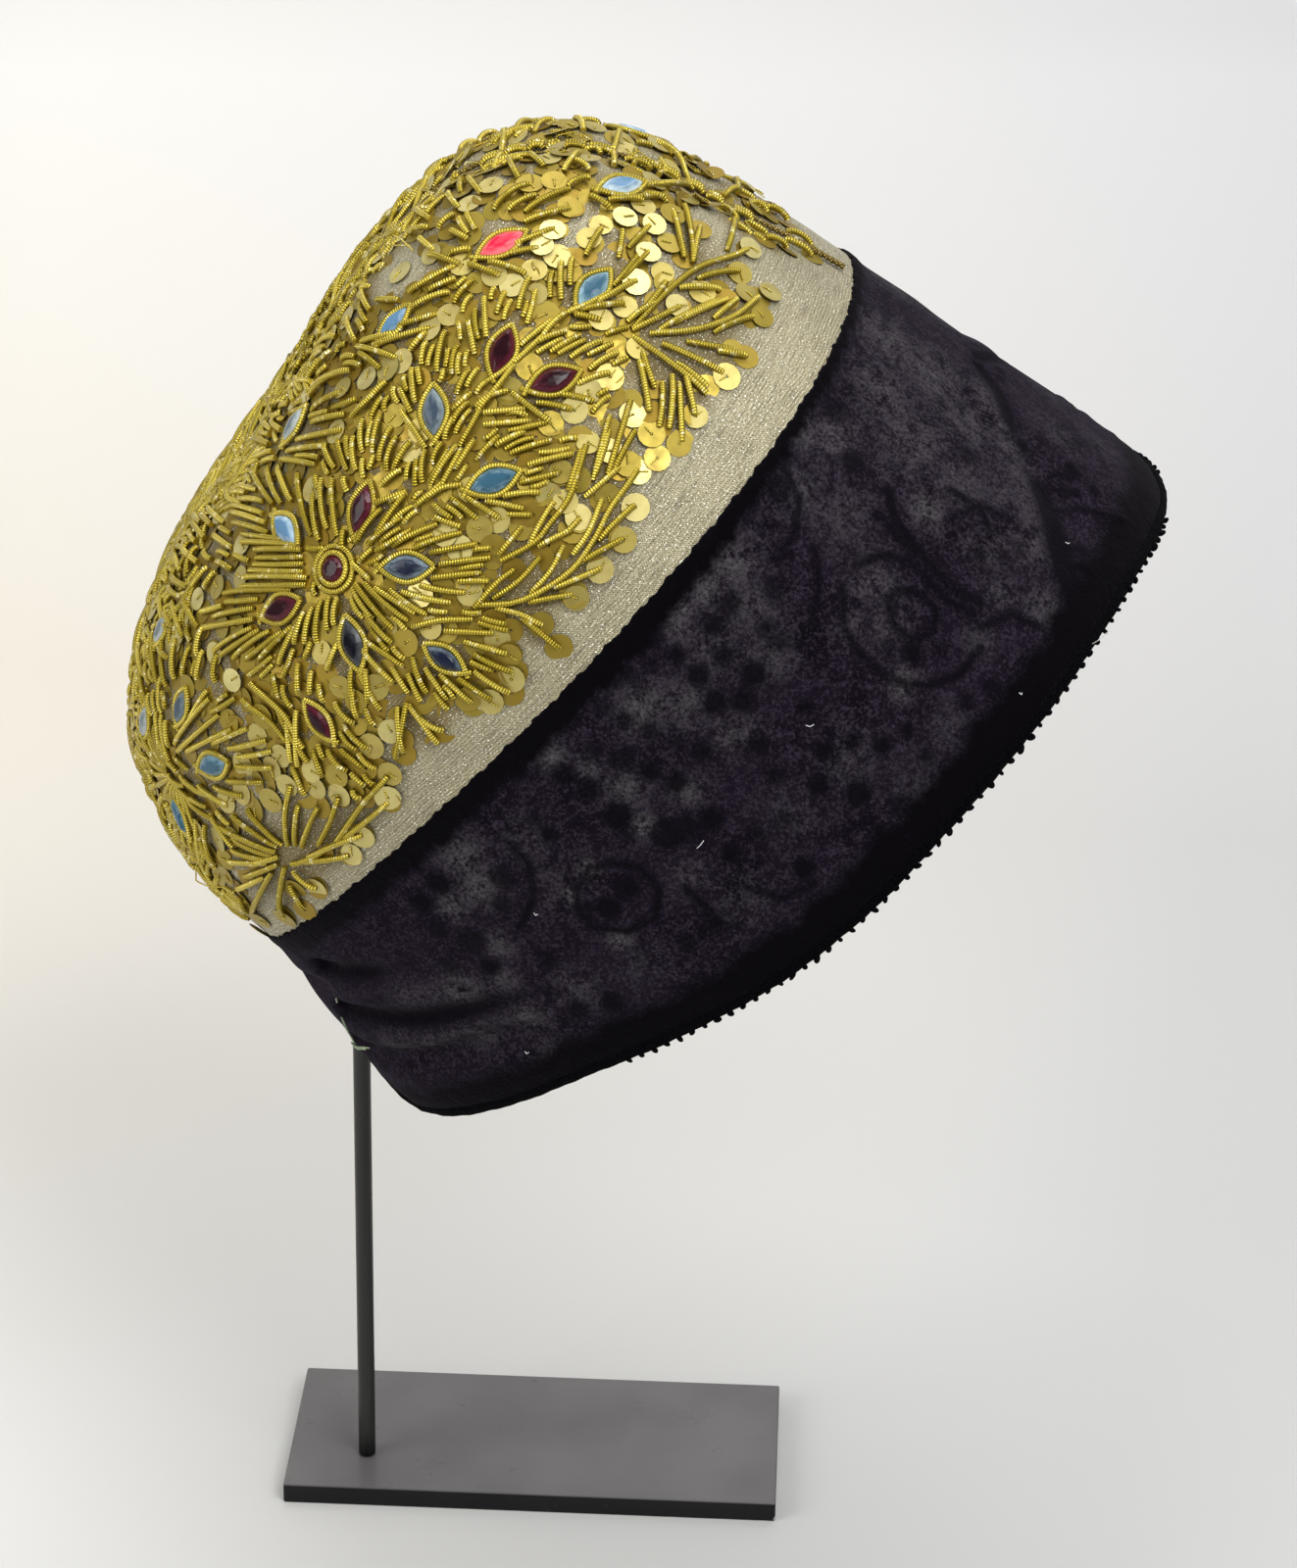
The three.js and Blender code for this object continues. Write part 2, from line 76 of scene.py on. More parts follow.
def make_camera():
    data = bpy.data.cameras.new("camera")
    data.sensor_width = SENSOR
    data.lens = FOCAL_PIXELS * SENSOR / PHOTO_HEIGHT
    data.clip_end = 20
    camera = bpy.data.objects.new("camera", data)
    place = np.eye(4)
    place[:3, :3] = camera_axes().T
    place[:3, 3] = np.array(CAMERA_AT) * MM
    camera.matrix_world = Matrix(place.tolist())
    bpy.context.scene.collection.objects.link(camera)
    bpy.context.scene.camera = camera


make_camera()

# Sizes shared with the frame's solids
PLATE_LENGTH = 115
PLATE_WIDTH = 50
PLATE_THICKNESS = 5
POST_RADIUS = 2
POST_AT = (-39.2, -11)
POST_BALL = 9
COIF_AT = (4.2, -11, 230.5)
LEAN_BACK = 48
BORDER_FRONT = 92
BORDER_BACK = 96
BORDER_HALF_WIDTH = 78
BORDER_SAG = 3
CROWN_HEIGHT = 74.5
CROWN_SHIFT = 14
TOP_SLOPE = 0.165
TOP_DIP = 3
TOP_DIP_PLACE = -17
TOP_DIP_SPREAD = 28
FOREHEAD_PUFF = 1
SEAM_SINK = 2
SEAM_SINK_FOREHEAD = 3.5
SEAM_SINK_SPREAD = 9
SEAM_SINK_FULL = 0.33
CROWN_WALL = 2
BAND_DEPTH = 80
FLARE_REACH = 85
FLARE_FRONT = 12
FLARE_NAPE = 17
FLARE_SIDE = 5
BAND_BULGE = 1
BAND_WALL = 2
LEAST_CLOTH = 0.4
RIM_BINDING = 3
RIM_GAP = 0.3
SEAM_GAP = 0.3
SEAT_GAP = 0.3
COLLAR_WIDTH = 1.1
ROUND_BORDER = 2.2
ROUND_BORDER_NAPE = 2.6
ROUND_TOP = 1.8
ROUND_NAPE_SHARE = 1.5
ROUND_FOREHEAD = 4.3
ROUND_SIDE = 2.4
ROUND_NAPE = 2.6

# Depth of the band and sag of the border, as turn from the forehead and share
BAND_DEPTHS = [(0, 1.0), (30, 0.95), (60, 0.94), (90, 0.92), (120, 0.75), (140, 0.64),
               (155, 0.5), (168, 0.12), (180, 0.08)]
BORDER_SAGS = [(0, 0), (100, 0), (130, 0.4), (155, 1), (180, 0.6)]

# Folds of the band: turn and drop at both ends, width as a share of the depth, sink in walls
BAND_FOLDS = [
    (168, 0.3, 146, 0.28, 0.06, 1.1),
    (163, 0.6, 122, 0.72, 0.06, 1.2),
    (15, 0.35, 22, 0.8, 0.08, 0.8),
]

# Stones of one half: name, turn, rise, lie on the cloth, kind, colour
STONES = [
    ("brow", 14, 0.36, 45, "long", "sky"),
    ("bright", 31, 0.46, 40, "long", "scarlet"),
    ("temple", 34, 0.33, 10, "long", "sea"),
    ("upper_front", 47, 0.56, 25, "slim", "sky"),
    ("pair_upper", 48, 0.39, -10, "long", "garnet"),
    ("pair_lower", 49, 0.31, 37, "long", "garnet"),
    ("side_upper", 60, 0.43, -34, "long", "steel"),
    ("upper_side", 72, 0.7, 16, "slim", "ice"),
    ("side_lower", 65, 0.3, 35, "long", "sea"),
    ("petal_front", 78, 0.45, -20, "long", "garnet"),
    ("petal_top", 90, 0.56, 84, "long", "sky"),
    ("heart", 88, 0.43, 0, "round", "garnet"),
    ("petal_low", 81, 0.33, 50, "long", "slate"),
    ("petal_back", 99, 0.46, 21, "long", "garnet"),
    ("petal_nape", 94, 0.32, -59, "long", "midnight"),
    ("lower", 88, 0.19, -98, "slim", "slate"),
    ("lower_back", 106, 0.27, -85, "slim", "garnet"),
    ("back_upper", 131, 0.46, -31, "slim", "steel"),
    ("back", 129, 0.34, 16, "long", "sea"),
    ("back_lower", 147, 0.3, -99, "slim", "sea"),
    ("nape_upper", 149, 0.48, -43, "slim", "ice"),
    ("crown_back", 138, 0.61, -32, "slim", "ice"),
]

# Length and width of each kind
STONE_KINDS = {"long": (9.4, 4.4), "slim": (8, 3.4), "round": (5, 5)}

# Rounds of the search for the place on a face that is seen under a pixel
SEARCH_STEPS = 12


def from_forehead(turn):
    """The turn to either side of the forehead, 0 to 180."""
    return np.abs((turn + 180) % 360 - 180)


def share_at(rows, turn):
    """A smooth curve through a table of turns and shares, level at both ends."""
    turns, shares = np.array(rows, float).T
    slopes = np.zeros(len(rows))
    slopes[1:-1] = (shares[2:] - shares[:-2]) / (turns[2:] - turns[:-2])
    at = from_forehead(turn)
    i = np.clip(np.searchsorted(turns, at, side="right") - 1, 0, len(rows) - 2)
    span = turns[i + 1] - turns[i]
    t = (at - turns[i]) / span
    rise = 3 * t ** 2 - 2 * t ** 3
    start = (t ** 3 - 2 * t ** 2 + t) * span * slopes[i]
    end = (t ** 3 - t ** 2) * span * slopes[i + 1]
    return (1 - rise) * shares[i] + rise * shares[i + 1] + start + end


def blend(a, b, share):
    return a + (b - a) * share


def grid(a, b):
    return np.meshgrid(a, b, indexing="ij")


def smooth(low, high, value):
    t = np.clip((value - low) / (high - low), 0, 1)
    return t * t * (3 - 2 * t)


def rounded_square(angle, roundness):
    c, s = np.cos(angle), np.sin(angle)
    reach = (np.abs(c) ** roundness + np.abs(s) ** roundness) ** (-1 / roundness)
    return c * reach, s * reach


def border_roundness(turn):
    back = np.minimum(0, np.cos(np.radians(turn)))
    return blend(ROUND_BORDER, ROUND_BORDER_NAPE, np.minimum(1, ROUND_NAPE_SHARE * back ** 2))


def crown_point(turn, rise):
    """The crown's outer face, from the border (rise 0) to the top (rise 1)."""
    turn, rise = np.broadcast_arrays(np.asarray(turn, float), np.asarray(rise, float))
    angle = np.radians(turn)
    ahead = np.cos(angle)
    front = ahead > 0
    end = np.where(front, ROUND_FOREHEAD, ROUND_NAPE)
    out, up = rounded_square(math.pi / 2 * rise, blend(ROUND_SIDE, end, ahead ** 2))
    out, up = np.maximum(out, 0), np.maximum(up, 0)
    plan = blend(border_roundness(turn), ROUND_TOP, np.minimum(1, 2 * up))
    along, aside = rounded_square(angle, plan)
    swell = 4 * up * (1 - up)
    y = BORDER_HALF_WIDTH * aside * out
    sink = np.where(front, blend(SEAM_SINK, SEAM_SINK_FOREHEAD, swell), SEAM_SINK)
    sink = sink * np.exp(-(y / SEAM_SINK_SPREAD) ** 2) * np.minimum(1, up / SEAM_SINK_FULL)
    x = np.where(front, BORDER_FRONT, BORDER_BACK) * along * out
    x = x + np.where(front, FOREHEAD_PUFF * ahead ** 2 * swell, 0) - np.sign(ahead) * sink * out
    x = x - CROWN_SHIFT * up
    z = (CROWN_HEIGHT * up - sink * up ** 2) * (1 + TOP_SLOPE * x / BORDER_FRONT)
    z = z - TOP_DIP * np.exp(-((x - TOP_DIP_PLACE) / TOP_DIP_SPREAD) ** 2) * up ** 3
    z = z - BORDER_SAG * share_at(BORDER_SAGS, turn) * (1 - up)
    return np.stack([x, y, z], -1)


def fold_sink(turn, drop):
    per_degree = math.radians(1) * BORDER_HALF_WIDTH
    place = np.stack([from_forehead(turn) * per_degree, drop * BAND_DEPTH], -1)
    sink = 0
    for turn_a, drop_a, turn_b, drop_b, width, depth in BAND_FOLDS:
        start = np.array([turn_a * per_degree, drop_a * BAND_DEPTH])
        run = np.array([turn_b * per_degree, drop_b * BAND_DEPTH]) - start
        share = np.clip((place - start) @ run / (run @ run), 0, 1)
        away = np.linalg.norm(place - start - share[..., None] * run, axis=-1)
        sink = sink + depth * BAND_WALL * np.exp(-(away / (width * BAND_DEPTH)) ** 2)
    return sink


def band_point(turn, drop):
    """The band's outer face, from the border (drop 0) to the edge of the rim (drop 1)."""
    turn, drop = np.broadcast_arrays(np.asarray(turn, float), np.asarray(drop, float))
    angle = np.radians(turn)
    along, aside = rounded_square(angle, border_roundness(turn))
    depth = BAND_DEPTH * share_at(BAND_DEPTHS, turn) * drop
    reach = depth / FLARE_REACH
    swell = 4 * BAND_BULGE * reach * (1 - reach) - fold_sink(turn, drop)
    front = np.cos(angle) > 0
    length = np.where(front, BORDER_FRONT + FLARE_FRONT * reach, BORDER_BACK + FLARE_NAPE * reach)
    width = BORDER_HALF_WIDTH + FLARE_SIDE * reach + swell
    z = -depth - BORDER_SAG * share_at(BORDER_SAGS, turn)
    return np.stack([along * (length + swell), aside * width, z], -1)


def unit(v):
    return v / np.maximum(np.linalg.norm(v, axis=-1, keepdims=True), 1e-9)


def level(normal):
    return unit(normal * np.array([1, 1, 0]))


def outward(face, turn, share):
    """The outward direction of a face at places given by turn and share."""
    step = 0.004
    at = np.clip(share, step, 1 - step)
    around = face(turn + 1, at) - face(turn - 1, at)
    upward = face(turn, at + step) - face(turn, at - step)
    direction = unit(np.cross(around, upward))
    inside = np.sum(direction * face(turn, at), -1, keepdims=True) < 0
    return np.where(inside, -direction, direction)


def to_world(points):
    """From the coif's own axes to the frame's, both in millimetres."""
    lean = math.radians(LEAN_BACK)
    x, y, z = np.moveaxis(np.asarray(points, float), -1, 0)
    world = np.stack([x * math.cos(lean) - z * math.sin(lean), y,
                      x * math.sin(lean) + z * math.cos(lean)], -1)
    return world + np.array(COIF_AT)


def world_way(directions):
    return to_world(directions) - np.array(COIF_AT)


def photo_pixels(points):
    """Where points of the right half, in the coif's own axes, lie in the photograph."""
    seen = (to_world(points * MIRROR) - np.array(CAMERA_AT)) @ camera_axes().T
    x = PHOTO_WIDTH / 2 - FOCAL_PIXELS * seen[..., 0] / seen[..., 2]
    y = PHOTO_HEIGHT / 2 + FOCAL_PIXELS * seen[..., 1] / seen[..., 2]
    return np.stack([x, y], -1)


def find_on(face, targets, guess, view):
    """Turn and share of the points of a face that view sees nearest to the targets."""
    at = guess.astype(float).copy()
    steps = np.array([0.2, 0.002])
    for _ in range(SEARCH_STEPS):
        base = view(face(*at.T))
        slope = np.stack([view(face(*(at + steps * way).T)) - base for way in np.eye(2)], -1)
        square = np.einsum("nki,nkj->nij", slope, slope) + np.eye(2) * 1e-3
        pull = np.einsum("nki,nk->ni", slope, targets - base)[..., None]
        step = np.linalg.solve(square, pull)[..., 0]
        at += np.clip(step * steps, [-8, -0.08], [8, 0.08])
        at = np.clip(at, [0.5, 0.006], [179.5, 0.985])
    return at


def from_photo(face, pixels):
    """Turn and share on the right half of a face under each pixel of the photograph."""
    pixels = np.asarray(pixels, float).reshape(-1, 2)
    turns, shares = (part.ravel() for part in grid(np.linspace(2, 178, 60), np.linspace(0.02, 0.97, 40)))
    sight = to_world(face(turns, shares) * MIRROR) - np.array(CAMERA_AT)
    facing = np.sum(world_way(outward(face, turns, shares) * MIRROR) * sight, -1) < 0
    guesses = np.stack([turns[facing], shares[facing]], -1)
    spots = photo_pixels(face(*guesses.T))
    nearest = np.argmin(((pixels[:, None] - spots[None]) ** 2).sum(-1), axis=1)
    return find_on(face, pixels, guesses[nearest], photo_pixels)


def settle(points, near):
    """Turn and rise of the places on the crown nearest to points, starting from near."""
    return find_on(crown_point, points, np.broadcast_to(near, (len(points), 2)), lambda place: place)


# Helpers that make pieces
def grid_faces(columns, rows, start=0, closed=False):
    """Quads over a grid of points stored column by column."""
    c, r = grid(np.arange(columns if closed else columns - 1), np.arange(rows - 1))
    after = (c + 1) % columns
    quads = np.stack([c * rows + r, after * rows + r, after * rows + r + 1, c * rows + r + 1], -1)
    return quads.reshape(-1, 4) + start


def tube_faces(columns, rows):
    """Quads of a ring of closed sections."""
    quads = grid_faces(columns, rows + 1, closed=True)
    return quads // (rows + 1) * rows + quads % (rows + 1) % rows


def make_mesh(name, points, faces, edges=()):
    """A mesh in metres from points in the frame's axes."""
    mesh = bpy.data.meshes.new(name)
    mesh.from_pydata((np.asarray(points, float) * MM).tolist(), list(edges), [list(f) for f in faces])
    mesh.update()
    return mesh


def make_piece(name, mesh, materials, replaced=()):
    """An object from a finished mesh, which rides on the part's one body."""
    piece = bpy.data.objects.new(name, mesh)
    bpy.context.scene.collection.objects.link(piece)
    for material in materials if isinstance(materials, list) else [materials]:
        if material.name not in [m.name for m in mesh.materials if m]:
            mesh.materials.append(material)
    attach(piece, "root")
    if replaced:
        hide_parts(*replaced)
    return piece


def add_uv(mesh, coords):
    """A UV map from one pair of numbers for each point."""
    layer = mesh.uv_layers.new(name="cloth")
    corners = np.empty(len(mesh.loops), np.int32)
    mesh.loops.foreach_get("vertex_index", corners)
    layer.data.foreach_set("uv", np.asarray(coords, np.float32)[corners].ravel())


def add_values(mesh, name, values):
    attribute = mesh.attributes.new(name, "FLOAT", "POINT")
    attribute.data.foreach_set("value", np.asarray(values, np.float32).ravel())


def turn_out(points, faces):
    """Faces of a closed mesh, all turned so that they look out."""
    faces = np.asarray(faces)
    a, b, c, d = (points[faces[:, i]] for i in range(4))
    volume = np.sum(a * np.cross(b, c)) + np.sum(a * np.cross(c, d))
    return faces if volume > 0 else faces[:, ::-1]


def weld(mesh, reach=1e-6):
    """Joins points that lie on each other and drops the faces that this flattens."""
    work = bmesh.new()
    work.from_mesh(mesh)
    bmesh.ops.remove_doubles(work, verts=work.verts, dist=reach)
    bmesh.ops.dissolve_degenerate(work, edges=work.edges, dist=reach)
    work.to_mesh(mesh)
    work.free()


def shade_smooth(mesh, value=True):
    mesh.polygons.foreach_set("use_smooth", np.full(len(mesh.polygons), value))


# Materials, each a small node tree; pitches of the woven cloths in millimetres
RIB_PITCH = 0.66
WARP_PITCH = 0.5
LINING_PITCH = 0.7


class Nodes:
    """A node tree with short ways to add nodes to it."""

    def __init__(self, tree):
        self.tree = tree

    def feed(self, socket, value):
        if isinstance(value, bpy.types.NodeSocket):
            self.tree.links.new(value, socket)
        else:
            socket.default_value = value

    def node(self, kind, inputs=(), **settings):
        made = self.tree.nodes.new(kind)
        for key, value in settings.items():
            setattr(made, key, value)
        for key, value in dict(inputs).items():
            self.feed(made.inputs[key], value)
        return made

    def math(self, operation, a, b=0.0):
        return self.node("ShaderNodeMath", {0: a, 1: b}, operation=operation).outputs[0]

    def times(self, a, b):
        return self.math("MULTIPLY", a, b)

    def plus(self, a, b):
        return self.math("ADD", a, b)


class Finish(Nodes):
    """A material with short ways to paint it."""

    def __init__(self, name):
        self.material = bpy.data.materials.new(name)
        self.material.use_nodes = True
        super().__init__(self.material.node_tree)
        self.shader = self.tree.nodes["Principled BSDF"]

    def set(self, **inputs):
        for key, value in inputs.items():
            self.feed(self.shader.inputs[key.replace("_", " ")], value)

    def value(self, name):
        return self.node("ShaderNodeAttribute", attribute_name=name).outputs["Fac"]

    def place(self):
        return self.node("ShaderNodeTexCoord").outputs["Object"]

    def cloth(self):
        return self.node("ShaderNodeUVMap", uv_map="cloth").outputs[0]

    def split(self, vector):
        return self.node("ShaderNodeSeparateXYZ", {0: vector}).outputs

    def noise(self, scale, detail=2.0, vector=None, rough=0.5):
        inputs = {"Scale": scale, "Detail": detail, "Roughness": rough}
        inputs["Vector"] = self.place() if vector is None else vector
        return self.node("ShaderNodeTexNoise", inputs).outputs["Fac"]

    def wave(self, value, pitch):
        return self.math("SINE", self.times(value, 2 * math.pi / pitch))

    def spread(self, value, low, high, start=0.0, end=1.0):
        inputs = {"Value": value, "From Min": low, "From Max": high, "To Min": start, "To Max": end}
        return self.node("ShaderNodeMapRange", inputs, clamp=True).outputs["Result"]

    def mix(self, share, *colours):
        made = self.node("ShaderNodeMix", {0: share}, data_type="RGBA")
        for socket, colour in zip((6, 7), colours):
            linked = isinstance(colour, bpy.types.NodeSocket)
            self.feed(made.inputs[socket], colour if linked else (*colour, 1))
        return made.outputs[2]

    def bump(self, height, depth, strength=1.0):
        inputs = {"Height": height, "Distance": depth * MM, "Strength": strength}
        self.set(Normal=self.node("ShaderNodeBump", inputs).outputs["Normal"])


def black_paint():
    """Stove paint with dust and painted sheen on the plate's top, and chips along its ends."""
    f = Finish("black_stove_paint")
    x, y, z = f.split(f.place())
    cloud = f.noise(35, 4)
    colour = f.mix(f.spread(cloud, 0.35, 0.7), (0.003, 0.003, 0.0035), (0.006, 0.006, 0.0065))
    specks = f.spread(f.noise(900, 3), 0.7, 0.82)
    colour = f.mix(f.times(specks, 0.25), colour, (0.16, 0.15, 0.14))
    # The plate's top is painted paler, as dust and as painted sheen where the light falls on it.
    dust_and_sheen = f.times(f.spread(z, 0.0046, 0.005), f.spread(z, 0.0056, 0.0052))
    dust_and_sheen = f.times(dust_and_sheen, f.spread(cloud, 0.3, 0.7, 0.75, 1))
    colour = f.mix(dust_and_sheen, colour, (0.142, 0.136, 0.138))
    # The post is painted paler above the plate's top than at its foot.
    colour = f.mix(f.spread(z, 0.006, 0.012, 0, 0.8), colour, (0.026, 0.026, 0.024))
    ends = f.times(f.spread(f.math("ABSOLUTE", x), 0.0568, 0.0573), f.spread(z, 0.006, 0.0052))
    chips = f.times(ends, f.spread(f.noise(420, 2), 0.7, 0.73))
    f.set(Base_Color=f.mix(chips, colour, (0.3, 0.28, 0.26)))
    f.set(Roughness=f.spread(f.noise(120, 4), 0.3, 0.7, 0.26, 0.42))
    f.set(Specular_IOR_Level=0.12, Coat_Weight=0.22, Coat_Roughness=0.16)
    f.bump(f.noise(1500, 2), 0.02, 0.25)
    return f.material


def metal_cloth():
    """Silvery cloth woven of fine metal strip in broken ribs, with painted shade, dark gold-brown, where
    thread lies close.
    """
    f = Finish("woven_metal_cloth")
    uv = f.cloth()
    across, up, _ = f.split(uv)
    drift = f.noise(0.04, 2, uv)
    ribs = f.wave(f.plus(up, f.times(drift, 5.0)), RIB_PITCH)
    cross = f.times(ribs, f.wave(f.plus(across, f.times(drift, 3.0)), WARP_PITCH))
    faint = f.spread(f.noise(0.09, 2, uv), 0.42, 0.6)
    ribs = f.times(ribs, f.math("SUBTRACT", 0.8, f.times(faint, 0.6)))
    weave = f.plus(f.times(ribs, 0.6), f.times(cross, 0.45))
    stretched = f.node("ShaderNodeMapping", {"Vector": uv, "Scale": (0.13, 1.5, 1)}).outputs[0]
    streak = f.noise(1.0, 3, stretched, 0.65)
    grain = f.noise(2.4, 2, uv, 0.75)
    base = f.mix(f.spread(f.noise(22, 3), 0.3, 0.7), (0.325, 0.293, 0.18), (0.43, 0.392, 0.25))
    base = f.mix(f.spread(streak, 0.34, 0.52), (0.215, 0.187, 0.115), base)
    base = f.mix(f.spread(weave, -1.15, 0.05), (0.14, 0.118, 0.07), base)
    base = f.mix(f.spread(grain, 0.31, 0.5), (0.09, 0.076, 0.045), base)
    # Painted shade between close threads: the cloth is darkened to gold-brown where the coils lie close.
    base = f.mix(f.times(f.value("thread_shade"), 0.85), base, (0.135, 0.092, 0.018))
    glint = f.spread(f.noise(2.4, 1, uv, 0.6), 0.655, 0.7)
    f.set(Base_Color=f.mix(glint, base, (1.0, 0.98, 0.9)), Metallic=0.3)
    f.set(Roughness=f.spread(grain, 0.3, 0.75, 0.62, 0.25))
    f.bump(f.plus(weave, f.times(grain, 1.6)), 0.12, 0.8)
    return f.material


def lining_cloth():
    f = Finish("pale_green_lining")
    warp, weft = (f.wave(part, LINING_PITCH) for part in f.split(f.cloth())[:2])
    weave = f.times(warp, weft)
    base = f.mix(f.spread(f.noise(25, 4), 0.3, 0.7), (0.36, 0.42, 0.27), (0.48, 0.52, 0.36))
    f.set(Base_Color=f.mix(f.spread(weave, -1, 0.4), (0.22, 0.26, 0.16), base), Roughness=0.85)
    f.bump(weave, 0.1, 0.6)
    return f.material


def bullion(name, bright, deep, pitch, roughness=0.34, metal=0.85):
    """Coiled metal thread: ridges along each coil, and valleys painted dark, as tarnish and as the shade
    between the turns.
    """
    f = Finish(name)
    ridge = f.wave(f.value("along"), pitch)
    light = f.times(f.value("shade"), f.spread(f.noise(60, 3), 0.25, 0.75, 0.5, 1.2))
    # The valley colour is tarnish and painted shade between the coil's turns.
    valley = tuple(0.5 * part for part in deep)
    colour = f.mix(f.spread(ridge, -1.2, -0.25), valley, f.mix(light, deep, bright))
    glint = f.spread(f.noise(700, 2), 0.62, 0.71, 0, 0.7)
    f.set(Base_Color=f.mix(glint, colour, (1.0, 0.92, 0.56)), Metallic=metal)
    f.set(Roughness=f.spread(f.noise(300, 2), 0.3, 0.7, roughness - 0.08, roughness + 0.14))
    f.bump(ridge, 0.11, 0.75)
    return f.material


def sequin_metal():
    f = Finish("stamped_gold_sequins")
    shade = f.value("shade")
    low = f.mix(f.spread(shade, 0, 0.45), (0.23, 0.145, 0.01), (0.3, 0.23, 0.032))
    body = f.mix(f.spread(shade, 0.45, 1), low, (0.72, 0.65, 0.3))
    tarnish = f.spread(f.noise(260, 3), 0.45, 0.75, 0, 0.45)
    f.set(Base_Color=f.mix(tarnish, body, (0.25, 0.17, 0.035)), Metallic=0.7)
    f.set(Roughness=f.spread(f.noise(500, 2), 0.3, 0.7, 0.36, 0.54))
    f.bump(f.noise(150, 2), 0.05, 0.25)
    return f.material


def figured_velvet():
    """Dark figured velvet: a short pile, worn thin in places, over a dull ground, with painted shade where
    it turns under and in its creases, and painted highlight on the ridges of its folds.
    """
    f = Finish("figured_purple_velvet")
    pile = f.noise(1300, 3, rough=0.8)
    fuzz = f.noise(330, 3, rough=0.65)
    cloud = f.noise(70, 4, rough=0.6)
    colour = f.mix(f.spread(cloud, 0.32, 0.68), (0.0028, 0.0016, 0.0038), (0.0072, 0.0045, 0.0098))
    speck = f.spread(f.plus(pile, f.times(fuzz, 0.5)), 0.72, 0.98)
    colour = f.mix(f.times(speck, 0.7), colour, (0.042, 0.032, 0.052))
    # Paler where the pile is worn, and painted highlight on the ridges of the folds.
    worn_and_highlit = f.times(f.value("wear_and_ridge_highlight"), f.spread(f.plus(fuzz, f.times(pile, 1.3)), 0.92, 1.4))
    colour = f.mix(f.times(worn_and_highlit, 0.8), colour, (0.082, 0.077, 0.08))
    blur = f.plus(f.times(fuzz, 1.1), f.times(cloud, 0.6))
    # The figure's darker pile, which also carries painted shade in the valleys of the creases.
    ragged_figure = f.spread(f.plus(f.value("figure_and_crease_shade"), blur), 0.92, 1.66, 0, 0.92)
    colour = f.mix(ragged_figure, colour, (0.0022, 0.0014, 0.003))
    # Painted shade where the velvet turns under at the border and the rim, with a ragged edge.
    ragged_edge = f.spread(f.plus(f.value("edge"), blur), 0.95, 1.75)
    f.set(Base_Color=f.mix(ragged_edge, colour, (0.0014, 0.001, 0.0018)))
    f.set(Roughness=0.95, Specular_IOR_Level=0.04)
    f.set(Sheen_Weight=0.04, Sheen_Roughness=0.4, Sheen_Tint=(0.72, 0.66, 0.78, 1))
    f.bump(f.plus(pile, f.times(fuzz, 1.5)), 0.35, 0.9)
    return f.material


def rolled_edge():
    f = Finish("rolled_black_edge")
    pile = f.noise(1900, 2, rough=0.7)
    colour = f.mix(f.spread(pile, 0.4, 0.75), (0.0006, 0.0005, 0.0009), (0.0032, 0.0025, 0.004))
    f.set(Base_Color=colour, Roughness=0.95, Specular_IOR_Level=0.02, Sheen_Weight=0.01)
    f.bump(f.plus(pile, f.noise(420, 2)), 0.6)
    return f.material


def cut_glass(name, light, deep):
    """Foil-backed glass, deep in the middle and paler at its edge as painted reflection, under a hard
    gloss.
    """
    f = Finish(name)
    tone = f.plus(f.value("tone"), f.spread(f.noise(330, 2), 0.3, 0.7, -0.12, 0.12))
    f.set(Base_Color=f.mix(f.spread(tone, 0.22, 1), deep, light))
    f.set(Roughness=f.spread(f.noise(800, 2), 0.3, 0.8, 0.12, 0.3))
    f.set(Specular_IOR_Level=0.15, Coat_Weight=0.12, Coat_Roughness=0.06)
    return f.material


def floor_paper():
    """Paper that is paler to the left and toward the back, as behind the part in the photograph."""
    f = Finish("pale_paper")
    # Painted light: the paper is paler where more light falls on it, to the left and toward the back, and
    # greyer to the right and in front.
    x, y, z = f.split(f.place())
    reach = f.plus(y, 1.0)
    aside = f.math("DIVIDE", x, f.math("MAXIMUM", reach, 0.5))
    deep = f.plus(y, z)
    right = f.mix(f.spread(deep, 0.35, 1.2), (0.455, 0.455, 0.452), (0.74, 0.74, 0.76))
    left = f.mix(f.spread(deep, 0.0, 0.4), (0.6, 0.595, 0.575), (0.65, 0.61, 0.535))
    left = f.mix(f.spread(deep, 0.45, 1.15), left, (0.95, 0.94, 0.9))
    base = f.mix(f.spread(aside, 0.14, -0.14), right, left)
    base = f.mix(f.spread(f.noise(1.2, 3), 0.3, 0.7, 0, 0.04), base, (0.9, 0.9, 0.92))
    f.set(Base_Color=base, Roughness=0.7)
    return f.material


PAINT = black_paint()
CLOTH = metal_cloth()
LINING = lining_cloth()
GOLD = bullion("gold_bullion", (0.69, 0.555, 0.09), (0.33, 0.245, 0.014), 0.56)
GREEN_SILK = bullion("green_silk_ends", (0.36, 0.45, 0.3), (0.22, 0.29, 0.17), 0.5, 0.6, 0.0)
LINT = bullion("pale_lint", (0.8, 0.8, 0.82), (0.6, 0.6, 0.62), 0.5, 0.7, 0.0)
